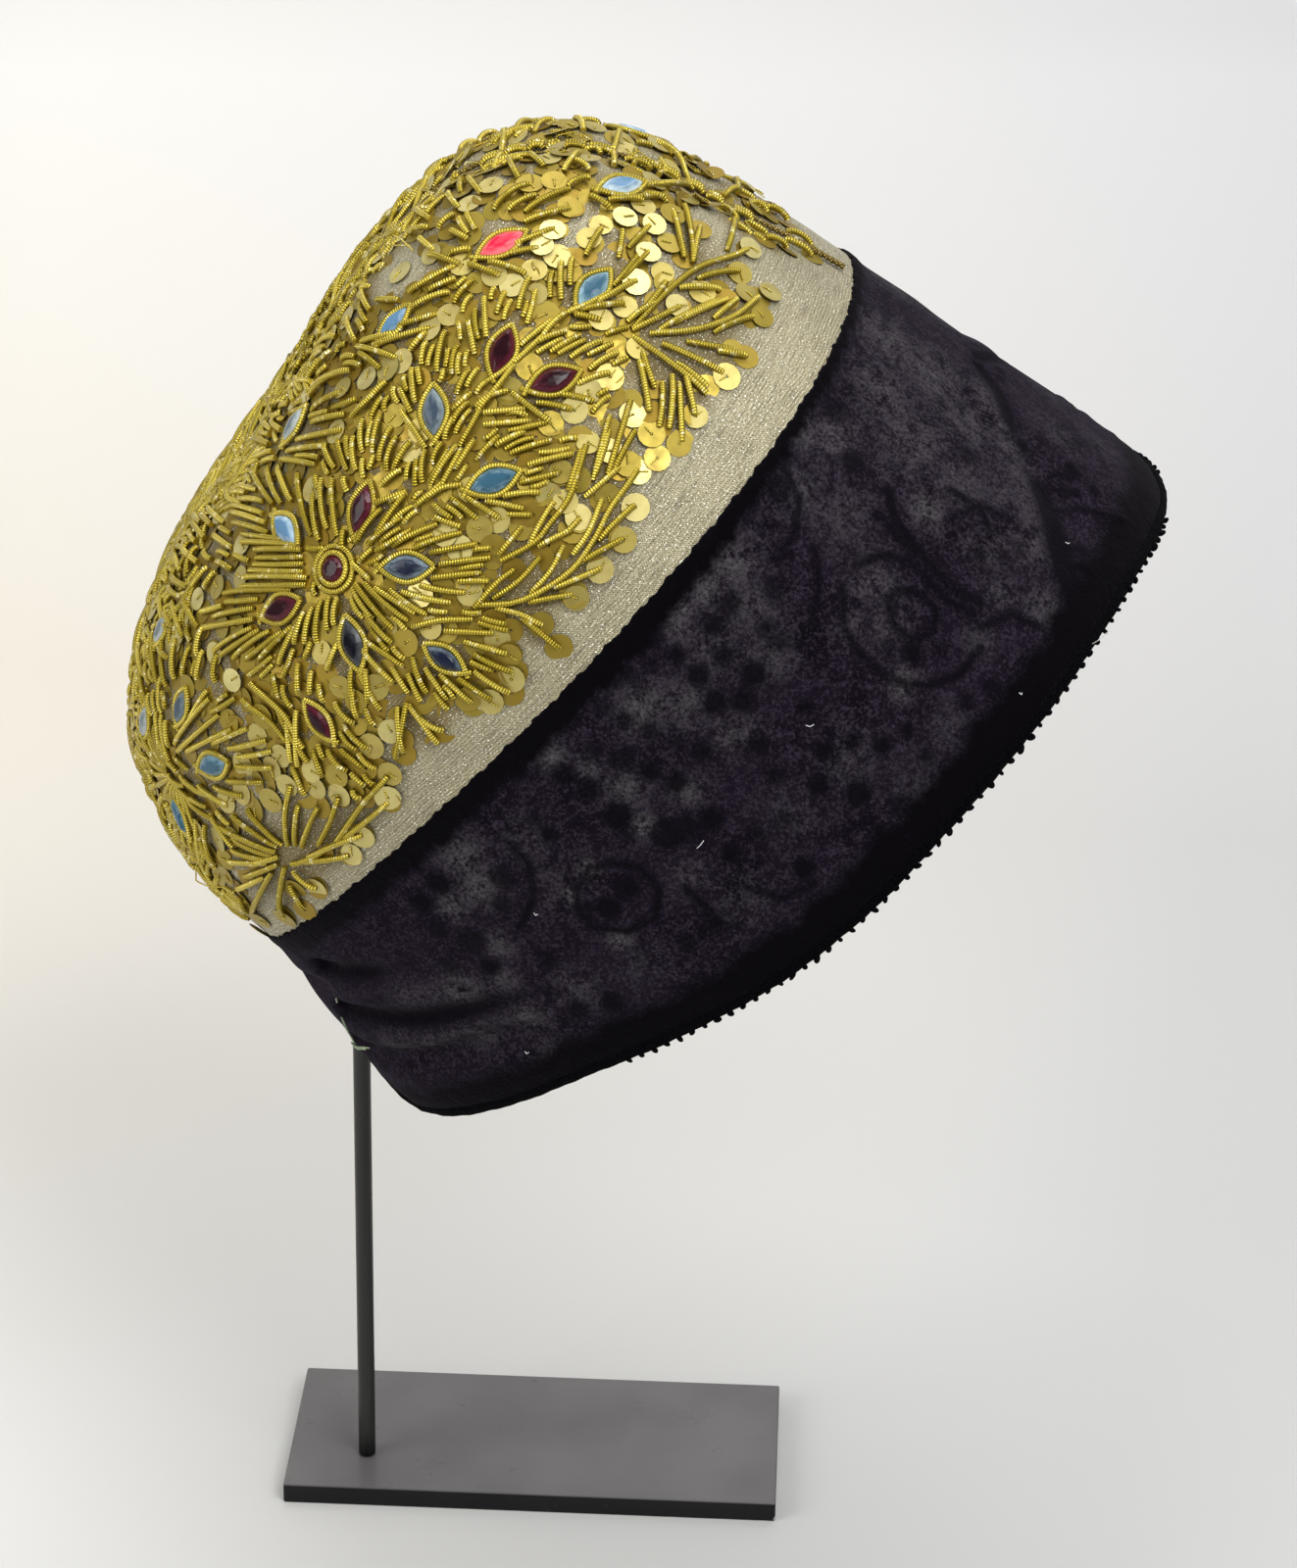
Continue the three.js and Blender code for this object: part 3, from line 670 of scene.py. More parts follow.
# The seam cord's gold is painted dark, as the shade in the groove of the seam where it lies.
SEAM_GOLD = bullion("dark_gold_cord", (0.36, 0.27, 0.08), (0.15, 0.1, 0.022), 0.5, 0.45)
SEQUIN = sequin_metal()
VELVET = figured_velvet()
EDGE = rolled_edge()
GLASS_COLOURS = {
    "sky": ((0.45, 0.56, 0.62), (0.09, 0.19, 0.31)),
    "sea": ((0.25, 0.39, 0.46), (0.03, 0.09, 0.14)),
    "steel": ((0.16, 0.2, 0.22), (0.035, 0.055, 0.08)),
    "slate": ((0.14, 0.19, 0.23), (0.007, 0.011, 0.028)),
    "midnight": ((0.06, 0.066, 0.07), (0.0015, 0.0015, 0.006)),
    "ice": ((0.4, 0.44, 0.43), (0.11, 0.14, 0.155)),
    "garnet": ((0.078, 0.008, 0.018), (0.013, 0.0005, 0.003)),
    "scarlet": ((0.85, 0.17, 0.2), (0.6, 0.012, 0.045)),
}
GLASS = {name: cut_glass(name + "_glass", *pair) for name, pair in GLASS_COLOURS.items()}


# Geometry node trees for what repeats
class Growth(Nodes):
    """A geometry node tree: a mesh, named sizes, counts and a material in, a mesh out."""

    def __init__(self, name, sizes, counts):
        super().__init__(bpy.data.node_groups.new(name, "GeometryNodeTree"))
        kinds = [("Geometry", "Geometry"), *((label, "Float") for label in sizes),
                 *((label, "Int") for label in counts), ("Material", "Material")]
        for label, kind in kinds:
            self.tree.interface.new_socket(label, in_out="INPUT", socket_type="NodeSocket" + kind)
        self.tree.interface.new_socket("Geometry", in_out="OUTPUT", socket_type="NodeSocketGeometry")
        self.given = self.node("NodeGroupInput").outputs

    def step(self, kind, inputs=(), **settings):
        return self.node("GeometryNode" + kind, inputs, **settings).outputs[0]

    def value(self, name, kind="FLOAT"):
        return self.step("InputNamedAttribute", {"Name": name}, data_type=kind)

    def chance(self, least, most):
        """Three random numbers for each point."""
        inputs = {0: least, 1: most, "Seed": self.given["Seed"]}
        return self.node("FunctionNodeRandomValue", inputs, data_type="FLOAT_VECTOR").outputs[0]

    def turn(self, angles):
        return self.node("FunctionNodeEulerToRotation", {0: angles}).outputs[0]

    def copies(self, points, shape, turn, size):
        return self.step("InstanceOnPoints", {"Points": points, "Instance": shape,
                                              "Rotation": turn, "Scale": size})

    def end(self, geometry):
        """Every tree ends alike: copies made real, then their material."""
        real = self.step("RealizeInstances", {0: geometry})
        painted = self.step("SetMaterial", {"Geometry": real, "Material": self.given["Material"]})
        self.node("NodeGroupOutput", {0: painted})
        return self.tree


def coil_tree():
    """Sweeps a round section along every chain of edges."""
    g = Growth("coils", ["Radius"], ["Sides"])
    line = g.step("MeshToCurve", {0: g.given["Geometry"]})
    line = g.step("SetCurveRadius", {"Curve": line, "Radius": g.value("thickness")})
    length = g.times(g.node("GeometryNodeSplineParameter").outputs["Length"], 1 / MM)
    line = g.step("StoreNamedAttribute", {"Geometry": line, "Name": "along", "Value": length},
                  data_type="FLOAT", domain="POINT")
    section = g.step("CurvePrimitiveCircle", {"Resolution": g.given["Sides"], "Radius": g.given["Radius"]})
    swept = g.step("CurveToMesh", {"Curve": line, "Profile Curve": section, "Fill Caps": True})
    return g.end(g.step("SetShadeSmooth", {"Geometry": swept, "Shade Smooth": True}))


def sequin_tree():
    """Puts a flat ring with a small hole on every point, turned as the point says."""
    g = Growth("sequins", ["Outer Radius", "Hole Radius", "Thickness", "Tilt"], ["Corners", "Seed"])
    outer, hole, tilt = (g.given[label] for label in ("Outer Radius", "Hole Radius", "Tilt"))
    middle = g.times(g.plus(outer, hole), 0.5)
    hoop = g.step("CurvePrimitiveCircle", {"Resolution": g.given["Corners"], "Radius": middle})
    sides = {"Width": g.math("SUBTRACT", outer, hole), "Height": g.given["Thickness"]}
    strip = g.step("CurvePrimitiveQuadrilateral", sides)
    disc = g.step("CurveToMesh", {"Curve": hoop, "Profile Curve": strip})
    disc = g.step("SetShadeSmooth", {"Geometry": disc, "Shade Smooth": False})
    low = g.times(tilt, -1.0)
    least, most = (g.node("ShaderNodeCombineXYZ", {0: end, 1: end}).outputs[0] for end in (low, tilt))
    turns = {0: g.turn(g.value("turned", "FLOAT_VECTOR")), 1: g.turn(g.chance(least, most))}
    turned = g.node("FunctionNodeRotateRotation", turns, rotation_space="LOCAL").outputs[0]
    points = g.step("MeshToPoints", {0: g.given["Geometry"]})
    return g.end(g.copies(points, disc, turned, g.value("size")))


def knot_tree():
    """Small knots along a line, a pitch apart, no two alike."""
    g = Growth("edge_knots", ["Pitch", "Size"], ["Seed"])
    line = g.step("MeshToCurve", {0: g.given["Geometry"]})
    points = g.step("CurveToPoints", {"Curve": line, "Length": g.given["Pitch"]}, mode="LENGTH")
    knot = g.step("MeshIcoSphere", {"Radius": g.given["Size"], "Subdivisions": 2})
    turned = g.turn(g.chance((0, 0, 0), (6.28, 6.28, 6.28)))
    return g.end(g.copies(points, knot, turned, g.chance((0.5, 0.5, 0.6), (1.2, 1.0, 1.6))))


TREES = {"coils": coil_tree(), "sequins": sequin_tree(), "edge_knots": knot_tree()}


def grow(name, mesh, tree, sizes):
    """Runs a node tree on a mesh and returns the plain mesh that it makes."""
    seed = bpy.data.objects.new(name + "_seed", mesh)
    bpy.context.scene.collection.objects.link(seed)
    modifier = seed.modifiers.new("nodes", "NODES")
    modifier.node_group = tree
    sockets = {s.name: s.identifier for s in tree.interface.items_tree if s.in_out == "INPUT"}
    for label, value in sizes.items():
        modifier[sockets[label]] = value
    bpy.context.view_layer.update()
    ready = seed.evaluated_get(bpy.context.evaluated_depsgraph_get())
    made = bpy.data.meshes.new_from_object(ready)
    made.name = name
    seed.modifiers.remove(modifier)
    bpy.data.objects.remove(seed)
    return made


# Crown
CROWN_COLUMNS = 180
CROWN_ROWS = 90
LINING_COLUMNS = 60
LINING_ROWS = 30
CLOTH_DENT = 0.25
COVER_COUNT = 12            # coil points whose reach tells how closely the thread lies
COVER_REACH = (6.6, 3.0)    # that reach where thread covers nothing and all


def dents(points):
    """Shallow unevenness of stiffened cloth."""
    x, y, z = np.moveaxis(points, -1, 0)
    slow = np.sin(x / 9.0 + 1.3 * np.sin(y / 13.0)) * np.sin(y / 8.0 + z / 11.0 + 0.7)
    fine = np.sin(x / 3.1 + y / 2.3) * np.sin(z / 2.7 - y / 3.7)
    return CLOTH_DENT * (slow + 0.35 * fine)


def lengths_along(points):
    """Length along each line of points, from its first point."""
    runs = np.linalg.norm(np.diff(points, axis=-2), axis=-1)
    return np.concatenate([np.zeros((*runs.shape[:-1], 1)), np.cumsum(runs, axis=-1)], axis=-1)


def shade_between_threads(points):
    """How much painted shade falls on the cloth between the threads, from how closely gold thread lies at
    places on the crown.
    """
    spots = np.concatenate([line for line, _, _ in coils])
    tree = KDTree(len(spots))
    for i, spot in enumerate(spots):
        tree.insert(spot, i)
    tree.balance()
    reach = [tree.find_n(place, COVER_COUNT)[-1][2] for place in points.reshape(-1, 3)]
    return smooth(*COVER_REACH, np.array(reach)).reshape(points.shape[:-1])


def crown_face(side, columns, rows, wall):
    """A face of a crown half, set in by its wall: points, lengths of cloth and painted shade between the
    threads.
    """
    turn, rise = grid(np.linspace(0, 180, columns + 1), np.linspace(0, 1, rows + 1))
    points = crown_point(turn, rise)
    normal = outward(crown_point, turn, rise)
    normal[:, -1] = unit(normal[:, -1].mean(axis=0) * IN_SEAM)
    normal[:, 0] = level(normal[:, 0])
    for end in (0, -1):
        normal[end] = unit(normal[end] * IN_SEAM)
    across = np.broadcast_to(lengths_along(points[:, 0])[:, None], turn.shape)
    coords = np.stack([across, lengths_along(points)], -1)
    if wall:
        thread_shade = np.zeros(turn.shape)
        points = points - wall * normal
    else:
        thread_shade = shade_between_threads(points)
        calm = smooth(0, 0.1, rise) * smooth(1, 0.9, rise) * smooth(0, 6, turn) * smooth(180, 174, turn)
        points = points + normal * (dents(points) * calm)[..., None]
    points[..., 1] = side * (np.maximum(points[..., 1], 0) + SEAM_GAP / 2)
    return points, coords, thread_shade


def crown_edges(start):
    """Faces that join the two faces of a crown half along its border and both ends of its seam."""
    rows, low_rows = CROWN_ROWS + 1, LINING_ROWS + 1
    ratio = CROWN_COLUMNS // LINING_COLUMNS
    loops = []
    for i in range(LINING_COLUMNS):
        near = [(ratio * i + k) * rows for k in range(ratio + 1)]
        far = [start + (i + 1) * low_rows, start + i * low_rows]
        loops.append([near[0], far[1], far[0], *near[:0:-1]])
    step = CROWN_ROWS // LINING_ROWS
    for column, low_column, turned in ((0, 0, False), (CROWN_COLUMNS, LINING_COLUMNS, True)):
        for j in range(LINING_ROWS):
            near = [column * rows + step * j + k for k in range(step + 1)]
            far = [start + low_column * low_rows + j + 1, start + low_column * low_rows + j]
            loop = [*near, *far]
            loops.append(loop[::-1] if turned else loop)
    return loops


def crown_half(side):
    faces = [crown_face(side, CROWN_COLUMNS, CROWN_ROWS, 0),
             crown_face(side, LINING_COLUMNS, LINING_ROWS, CROWN_WALL)]
    points, coords = (np.concatenate([face[i].reshape(-1, size) for face in faces])
                      for i, size in ((0, 3), (1, 2)))
    start = faces[0][2].size
    outer = grid_faces(CROWN_COLUMNS + 1, CROWN_ROWS + 1)
    inner = grid_faces(LINING_COLUMNS + 1, LINING_ROWS + 1, start)[:, ::-1]
    loops = [*outer.tolist(), *inner.tolist(), *crown_edges(start)]
    if side < 0:
        loops = [loop[::-1] for loop in loops]
    mesh = make_mesh("crown", to_world(points), loops)
    add_uv(mesh, coords)
    add_values(mesh, "thread_shade", np.concatenate([face[2].ravel() for face in faces]))
    lining = np.zeros(len(loops), np.int32)
    lining[len(outer):len(outer) + len(inner)] = 1
    mesh.materials.append(CLOTH)
    mesh.materials.append(LINING)
    mesh.polygons.foreach_set("material_index", lining)
    weld(mesh)
    shade_smooth(mesh)
    return mesh


# Band of velvet, its lip over the border, its inner face and its pile
BAND_COLUMNS = 720
BAND_ROWS = 96
LIP_ROWS = 6
LIP_REACH = 1.3
LIP_PROUD = 0.7
BAND_INNER_ROWS = 24
TUCK_DEPTH = 3
TUCK_SINK = 0.4
CLOTH_INTO_ROLL = 1.0
PILE_HEIGHT = 0.5
PIXELS_PER_MM = 4.6


def cloth_end(turn):
    depth = BAND_DEPTH * share_at(BAND_DEPTHS, turn)
    return np.maximum(LEAST_CLOTH, 1 - (RIM_BINDING + RIM_GAP) / depth)


def ragged(turn, wave=1.0):
    """Uneven cut edge of the pile, from a few waves that close round the head."""
    a = np.radians(turn)
    return wave * (0.35 * np.sin(61 * a + 1) + 0.3 * np.sin(137 * a) + 0.35 * np.sin(223 * a + 2))


# Darker pile of the velvet's figure as the photograph shows it: pixel and radius in pixels
PILE_DOTS = [
    (744, 615, 12), (728, 638, 11), (662, 648, 14), (738, 668, 10), (712, 688, 11), (768, 686, 12),
    (729, 716, 12), (757, 714, 12), (690, 668, 9), (663, 676, 8), (640, 688, 9), (615, 722, 9),
    (637, 735, 9), (663, 745, 9), (690, 757, 9), (715, 765, 11), (775, 758, 10), (663, 785, 11),
    (690, 797, 11), (635, 775, 14), (605, 765, 10), (575, 790, 12), (600, 805, 12), (530, 785, 8),
    (512, 895, 12), (448, 900, 13), (430, 920, 12), (447, 947, 12), (512, 922, 11), (600, 925, 8),
    (630, 832, 14), (640, 850, 10), (680, 850, 16), (700, 845, 16), (725, 835, 12), (875, 810, 12),
    (835, 800, 10), (920, 822, 12), (790, 600, 12), (795, 498, 14), (822, 720, 8), (852, 418, 15),
    (868, 398, 10), (868, 470, 13), (985, 465, 11), (1040, 455, 9), (1068, 542, 7), (1085, 558, 8),
    (1000, 566, 8), (1022, 567, 8), (1085, 500, 8), (1092, 478, 8), (1115, 500, 8), (820, 885, 10),
    (840, 765, 10), (930, 665, 10), (905, 660, 9), (960, 662, 8), (795, 655, 10), (780, 640, 9),
    (620, 925, 12), (640, 905, 12), (1020, 385, 8), (1040, 560, 7), (560, 850, 9), (545, 835, 9),
    (900, 760, 9), (925, 745, 8), (945, 770, 8), (870, 755, 8), (985, 715, 9), (1010, 700, 9),
    (480, 960, 16), (460, 985, 12), (500, 985, 10), (590, 1030, 12), (625, 1022, 12), (745, 870, 10),
    (770, 850, 9), (800, 835, 9), (790, 790, 9), (560, 980, 9), (700, 960, 10), (730, 940, 9),
]

# Darker lines of the figure: half width, then the pixels along each
PILE_LINES = [
    (4.5, 905, 500, 912, 530, 930, 553, 950, 577, 975, 602, 1000, 616),
    (3.5, 872, 578, 900, 566, 925, 571, 945, 590, 965, 611, 992, 627),
    (3, 893, 522, 915, 548, 934, 568),
    (3, 858, 598, 860, 640, 878, 668, 905, 692, 940, 700, 975, 690, 1000, 662),
    (3, 905, 612, 918, 600, 940, 605, 955, 622, 950, 645, 930, 652, 912, 640, 905, 612),
    (2.5, 1062, 523, 1100, 519, 1148, 530),
    (4, 1076, 485, 1100, 485),
    (4, 1080, 503, 1098, 503),
    (4, 1078, 560, 1104, 560),
    (4, 1078, 579, 1108, 578),
    (3, 800, 480, 815, 510, 810, 545, 790, 570),
    (3, 830, 560, 835, 600, 825, 640),
    (3, 600, 888, 588, 905, 590, 930, 606, 945, 640, 950, 668, 935, 672, 905, 652, 884, 622, 880, 600, 888),
    (3, 700, 905, 725, 930, 715, 955),
    (3, 970, 500, 1000, 520, 1010, 545),
    (2.5, 965, 530, 1000, 515, 1030, 530),
    (3, 860, 850, 885, 835, 900, 850, 890, 875),
    (3, 1000, 640, 1030, 625, 1060, 640),
    (3, 520, 860, 540, 880, 545, 915, 530, 945),
    (3, 930, 880, 905, 905, 870, 915),
    (3, 760, 905, 800, 915, 830, 900),
]

# Where the pile has worn to the ground, and painted highlight on the ridges of the folds at the nape:
# pixel, reach in pixels and strength
WORN_AND_HIGHLIT_SPOTS = [
    (905, 345, 40, 0.8), (950, 380, 45, 0.75), (900, 400, 40, 0.7), (985, 430, 38, 0.6),
    (930, 450, 42, 0.65), (850, 445, 26, 0.8), (820, 440, 20, 0.9), (980, 490, 32, 0.65),
    (945, 520, 18, 1.0), (1020, 500, 26, 0.5), (815, 500, 26, 0.6), (860, 530, 30, 0.5),
    (1050, 560, 22, 0.55), (1065, 620, 18, 0.75), (1085, 665, 12, 0.8), (745, 575, 30, 0.9),
    (720, 600, 22, 0.9), (697, 620, 14, 1.2), (765, 620, 26, 0.8), (690, 640, 16, 0.8),
    (720, 660, 28, 0.5), (785, 670, 26, 0.6), (700, 715, 28, 0.7), (655, 722, 24, 1.0),
    (610, 690, 14, 0.8), (745, 745, 24, 0.6), (560, 772, 16, 1.0), (600, 785, 14, 0.6),
    (640, 805, 22, 0.9), (700, 808, 16, 0.9), (656, 842, 13, 1.4), (470, 872, 22, 1.1),
    (490, 905, 24, 1.0), (462, 925, 16, 1.0), (510, 965, 16, 1.0), (582, 915, 10, 1.2),
    (600, 885, 12, 0.9), (632, 958, 12, 1.2), (470, 1012, 24, 1.0), (515, 1000, 16, 0.7),
    (440, 1062, 14, 1.0), (490, 1052, 18, 0.9), (540, 1038, 18, 0.9), (590, 1010, 26, 0.5),
    (890, 590, 26, 0.7), (900, 640, 24, 0.5), (922, 697, 16, 1.0), (870, 640, 16, 0.6),
    (1000, 655, 16, 0.5), (1020, 600, 20, 0.4), (1160, 515, 18, 0.6), (1120, 450, 26, 0.25),
    (1075, 440, 24, 0.35), (870, 780, 30, 0.35), (940, 800, 34, 0.35), (800, 830, 30, 0.3),
    (760, 920, 26, 0.35), (700, 895, 20, 0.4), (560, 900, 28, 0.3), (540, 860, 26, 0.4),
    (880, 900, 24, 0.2), (970, 740, 26, 0.3), (1010, 560, 24, 0.4), (560, 1070, 20, 0.3),
    (650, 990, 30, 0.25),
]

# Soft creases of the velvet: how far they lift in millimetres, their reach, then pixels along each
CREASES = [
    (-1.0, 2.0, 1000, 372, 1018, 400, 1028, 430, 1044, 468),
    (0.9, 4.0, 1000, 400, 1020, 440, 1040, 500, 1062, 575, 1090, 660),
    (-0.6, 3.0, 1060, 500, 1085, 580, 1108, 650),
    (-2.2, 2.2, 326, 990, 360, 993, 409, 990),
    (-2.2, 2.4, 346, 1032, 385, 1039, 430, 1041, 500, 1027, 575, 1002),
    (1.2, 3.0, 400, 1062, 460, 1057, 520, 1038, 560, 1022),
    (0.7, 3.2, 410, 1016, 470, 1012, 530, 990),
]

# How far the painted shade of the velvet turning under reaches from the border and from the rim, as turn
# and millimetres
BORDER_SHADE = [(0, 0.8), (25, 1.0), (45, 1.8), (60, 3.6), (90, 4.4), (120, 4.0), (150, 3.0), (180, 1.2)]
RIM_SHADE = [(0, 9), (20, 9), (60, 8), (90, 7.5), (120, 7), (150, 5), (180, 2)]


def cast_on_band(rows, first):
    """The pixels of chart rows, cast on the band, as points in the left half's axes."""
    counts = [(len(row) - first) // 2 for row in rows]
    places = from_photo(band_point, np.concatenate([row[first:] for row in rows]))
    return np.split(band_point(*places.T), np.cumsum(counts)[:-1])


def line_distance(points, line):
    """Distance from each point to a chain of straight runs, and the share of it passed there."""
    nearest = np.full(len(points), 1e9)
    passed = np.zeros(len(points))
    for i, (start, end) in enumerate(zip(line[:-1], line[1:])):
        run = end - start
        share = np.clip((points - start) @ run / max(run @ run, 1e-9), 0, 1)
        away = np.linalg.norm(points - start - share[:, None] * run, axis=-1)
        passed = np.where(away < nearest, i + share, passed)
        nearest = np.minimum(nearest, away)
    return nearest, passed / (len(line) - 1)


def velvet_marks(points):
    """Figure, wear and lift of the velvet at points of its outer face; the figure also carries painted
    shade in the creases' valleys, and the wear painted highlight on their ridges.
    """
    shape = points.shape[:-1]
    points = points.reshape(-1, 3).copy()
    points[:, 1] = np.abs(points[:, 1])
    figure_and_crease_shade, wear_and_ridge_highlight, lift = (np.zeros(len(points)) for _ in range(3))
    dots = from_photo(band_point, [row[:2] for row in PILE_DOTS])
    for place, row in zip(band_point(*dots.T), PILE_DOTS):
        reach = row[2] / PIXELS_PER_MM
        away = np.linalg.norm(points - place, axis=-1)
        wobble = 0.35 * np.sin(1.9 * points[:, 0] + place[0]) * np.sin(1.7 * points[:, 2] + place[2])
        strength = random.uniform(0.5, 0.95)
        figure_and_crease_shade = np.maximum(figure_and_crease_shade, strength * smooth(reach + 1.3, reach - 1.3, away + wobble))
    for line, row in zip(cast_on_band(PILE_LINES, 1), PILE_LINES):
        reach = row[0] / PIXELS_PER_MM
        figure_and_crease_shade = np.maximum(figure_and_crease_shade, 0.76 * smooth(reach + 1.2, reach - 0.6, line_distance(points, line)[0]))
    spots = from_photo(band_point, [row[:2] for row in WORN_AND_HIGHLIT_SPOTS])
    for place, row in zip(band_point(*spots.T), WORN_AND_HIGHLIT_SPOTS):
        away = np.linalg.norm(points - place, axis=-1) / (row[2] / PIXELS_PER_MM)
        wear_and_ridge_highlight = np.maximum(wear_and_ridge_highlight, row[3] * np.exp(-away ** 2 * 1.2))
    for line, (rise, reach, *_) in zip(cast_on_band(CREASES, 2), CREASES):
        away, passed = line_distance(points, line)
        depth = np.exp(-(away / reach) ** 2) * smooth(1, 0.55, passed)
        lift += rise * depth * (1 + 0.7 * smooth(0.4, 0, passed) * (rise < 0))
        # Painted shade in the valleys of the creases, as darker figure, and painted highlight on their
        # ridges, as paler wear.
        if rise < 0:
            figure_and_crease_shade = np.maximum(figure_and_crease_shade, 1.3 * depth)
        else:
            wear_and_ridge_highlight = np.maximum(wear_and_ridge_highlight, 0.5 * depth)
    return figure_and_crease_shade.reshape(shape), wear_and_ridge_highlight.reshape(shape), lift.reshape(shape)


def band_outer(turn, drop, depth, to_edge, marks):
    """The outer face, raised and sunk by its folds, its figure and its wear."""
    figure_and_crease_shade, wear_and_ridge_highlight, lift = marks
    points = band_point(turn, drop)
    normal = level(outward(band_point, turn, np.clip(drop, 0, 1)))
    calm = smooth(0, 5, depth * drop) * smooth(0, 5, to_edge)
    tuck = TUCK_SINK * np.clip(1 - to_edge / TUCK_DEPTH, 0, 1.15) ** 2.2
    proud = LIP_PROUD * np.exp(-(depth * drop / 2.2) ** 2)
    relief = 0.6 * dents(points * 0.8) + (lift + PILE_HEIGHT * (figure_and_crease_shade - 0.5 * wear_and_ridge_highlight)) * calm
    return points + normal * (proud - tuck + relief)[..., None]


def band_lip(turns):
    """The lip of the cloth, turned over the edge of the crown."""
    turn, share = grid(turns, np.arange(LIP_ROWS, 0, -1) / LIP_ROWS)
    points = band_point(turn, 0 * turn)
    proud = LIP_PROUD * np.sqrt(np.maximum(0, 1 - share ** 2))
    points = points + level(outward(band_point, turn, 0 * turn)) * proud[..., None]
    points[..., 2] += (LIP_REACH + 0.45 * ragged(turn)) * share
    return points


def band_inner(turns, depth):
    """The inner face, coarser down its depth, which follows the deep creases."""
    turn, share = grid(turns, np.linspace(1, 0, BAND_INNER_ROWS + 1))
    drop = (cloth_end(turn) + CLOTH_INTO_ROLL / depth) * share
    points = band_point(turn, drop)
    sunk = np.minimum(0, velvet_marks(points)[2]) * smooth(0, 0.1, share) * smooth(1, 0.9, share)
    return points + (sunk - BAND_WALL)[..., None] * level(outward(band_point, turn, drop))


def band_mesh():
    turn, row = grid(np.arange(BAND_COLUMNS) * 360 / BAND_COLUMNS, np.arange(BAND_ROWS + 1))
    depth = BAND_DEPTH * share_at(BAND_DEPTHS, turn)
    drop = (cloth_end(turn) + CLOTH_INTO_ROLL / depth) * row / BAND_ROWS
    figure_and_crease_shade, wear_and_ridge_highlight, lift = velvet_marks(band_point(turn, drop))
    to_edge = depth * (cloth_end(turn) - drop)
    outer = band_outer(turn, drop, depth, to_edge, (figure_and_crease_shade, wear_and_ridge_highlight, lift))
    ring = np.concatenate([band_lip(turn[:, 0]), outer, band_inner(turn[:, 0], depth[:, :1])], axis=1)
    rows = ring.shape[1]
    world = to_world(ring.reshape(-1, 3))
    mesh = make_mesh("velvet", world, turn_out(world, tube_faces(BAND_COLUMNS, rows)))
    around = BORDER_HALF_WIDTH * np.radians(np.broadcast_to(turn[:, :1], (BAND_COLUMNS, rows)))
    add_uv(mesh, np.stack([around, -ring[..., 2]], -1).reshape(-1, 2))
    from_border = depth * drop + 0.8 * ragged(turn) + 0.7 * ragged(turn * 0.37 + 40)
    from_rim = to_edge + 1.6 * ragged(turn * 0.3, 0.8)
    border, rim = share_at(BORDER_SHADE, turn), share_at(RIM_SHADE, turn)
    # Painted shade where the velvet turns under at the border and at the rim, with a ragged edge.
    pile = np.maximum(smooth(border + 2.2, border - 1.6, from_border), smooth(rim + 2.5, rim - 4, from_rim))
    # The lip over the border carries that painted shade in full.
    for name, value in (("edge", pile), ("figure_and_crease_shade", figure_and_crease_shade), ("wear_and_ridge_highlight", wear_and_ridge_highlight)):
        spread = np.zeros((BAND_COLUMNS, rows))
        spread[:, :LIP_ROWS] = 1 if name == "edge" else 0
        spread[:, LIP_ROWS:LIP_ROWS + BAND_ROWS + 1] = value
        add_values(mesh, name, spread)
    shade_smooth(mesh)
    return mesh


make_piece("velvet_cloth", band_mesh(), VELVET, ["velvet_band"])


# Rolled edge of the rim with its row of small knots
RIM_COLUMNS = 540
RIM_SIDES = 12
KNOT_PITCH = 3.1
KNOT_SIZE = 0.8
KNOTS_START = 9
KNOTS_END = 112
KNOT_LEAN = 40          # degrees from the lowest line of the roll outward
KNOT_PROUD = 0.2
RIM_INSET = 0.5         # from the middle of the cloth's edge inward


def cloth_edge(turn):
    end = cloth_end(turn)
    return band_point(turn, end) - BAND_WALL / 2 * level(outward(band_point, turn, end))


def rim_frame(turn):
    """Middle line of the rolled edge with its outward and downward directions."""
    along = unit(cloth_edge(turn + 1) - cloth_edge(turn - 1))
    normal = outward(band_point, turn, cloth_end(turn))
    away = unit(np.cross(along, normal))
    away = np.where(away[..., 2:] > 0, -away, away)
    out = level(normal)
    return cloth_edge(turn) + away * (RIM_GAP + RIM_BINDING / 2) - out * RIM_INSET, out, away


def rim_mesh():
    turn = np.arange(RIM_COLUMNS) * 360 / RIM_COLUMNS
    centre, out, away = (part[:, None] for part in rim_frame(turn))
    angle = 2 * math.pi * np.arange(RIM_SIDES) / RIM_SIDES
    a = np.radians(turn)[:, None]
    puff = 1 + 0.05 * np.sin(23 * a + angle) + 0.04 * np.sin(67 * a + 2 * angle) + 0.03 * np.sin(151 * a)
    way = np.cos(angle)[None, :, None] * out + np.sin(angle)[None, :, None] * away
    world = to_world((centre + (RIM_BINDING / 2 * puff)[..., None] * way).reshape(-1, 3))
    mesh = make_mesh("rim", world, turn_out(world, tube_faces(RIM_COLUMNS, RIM_SIDES)))
    shade_smooth(mesh)
    return mesh


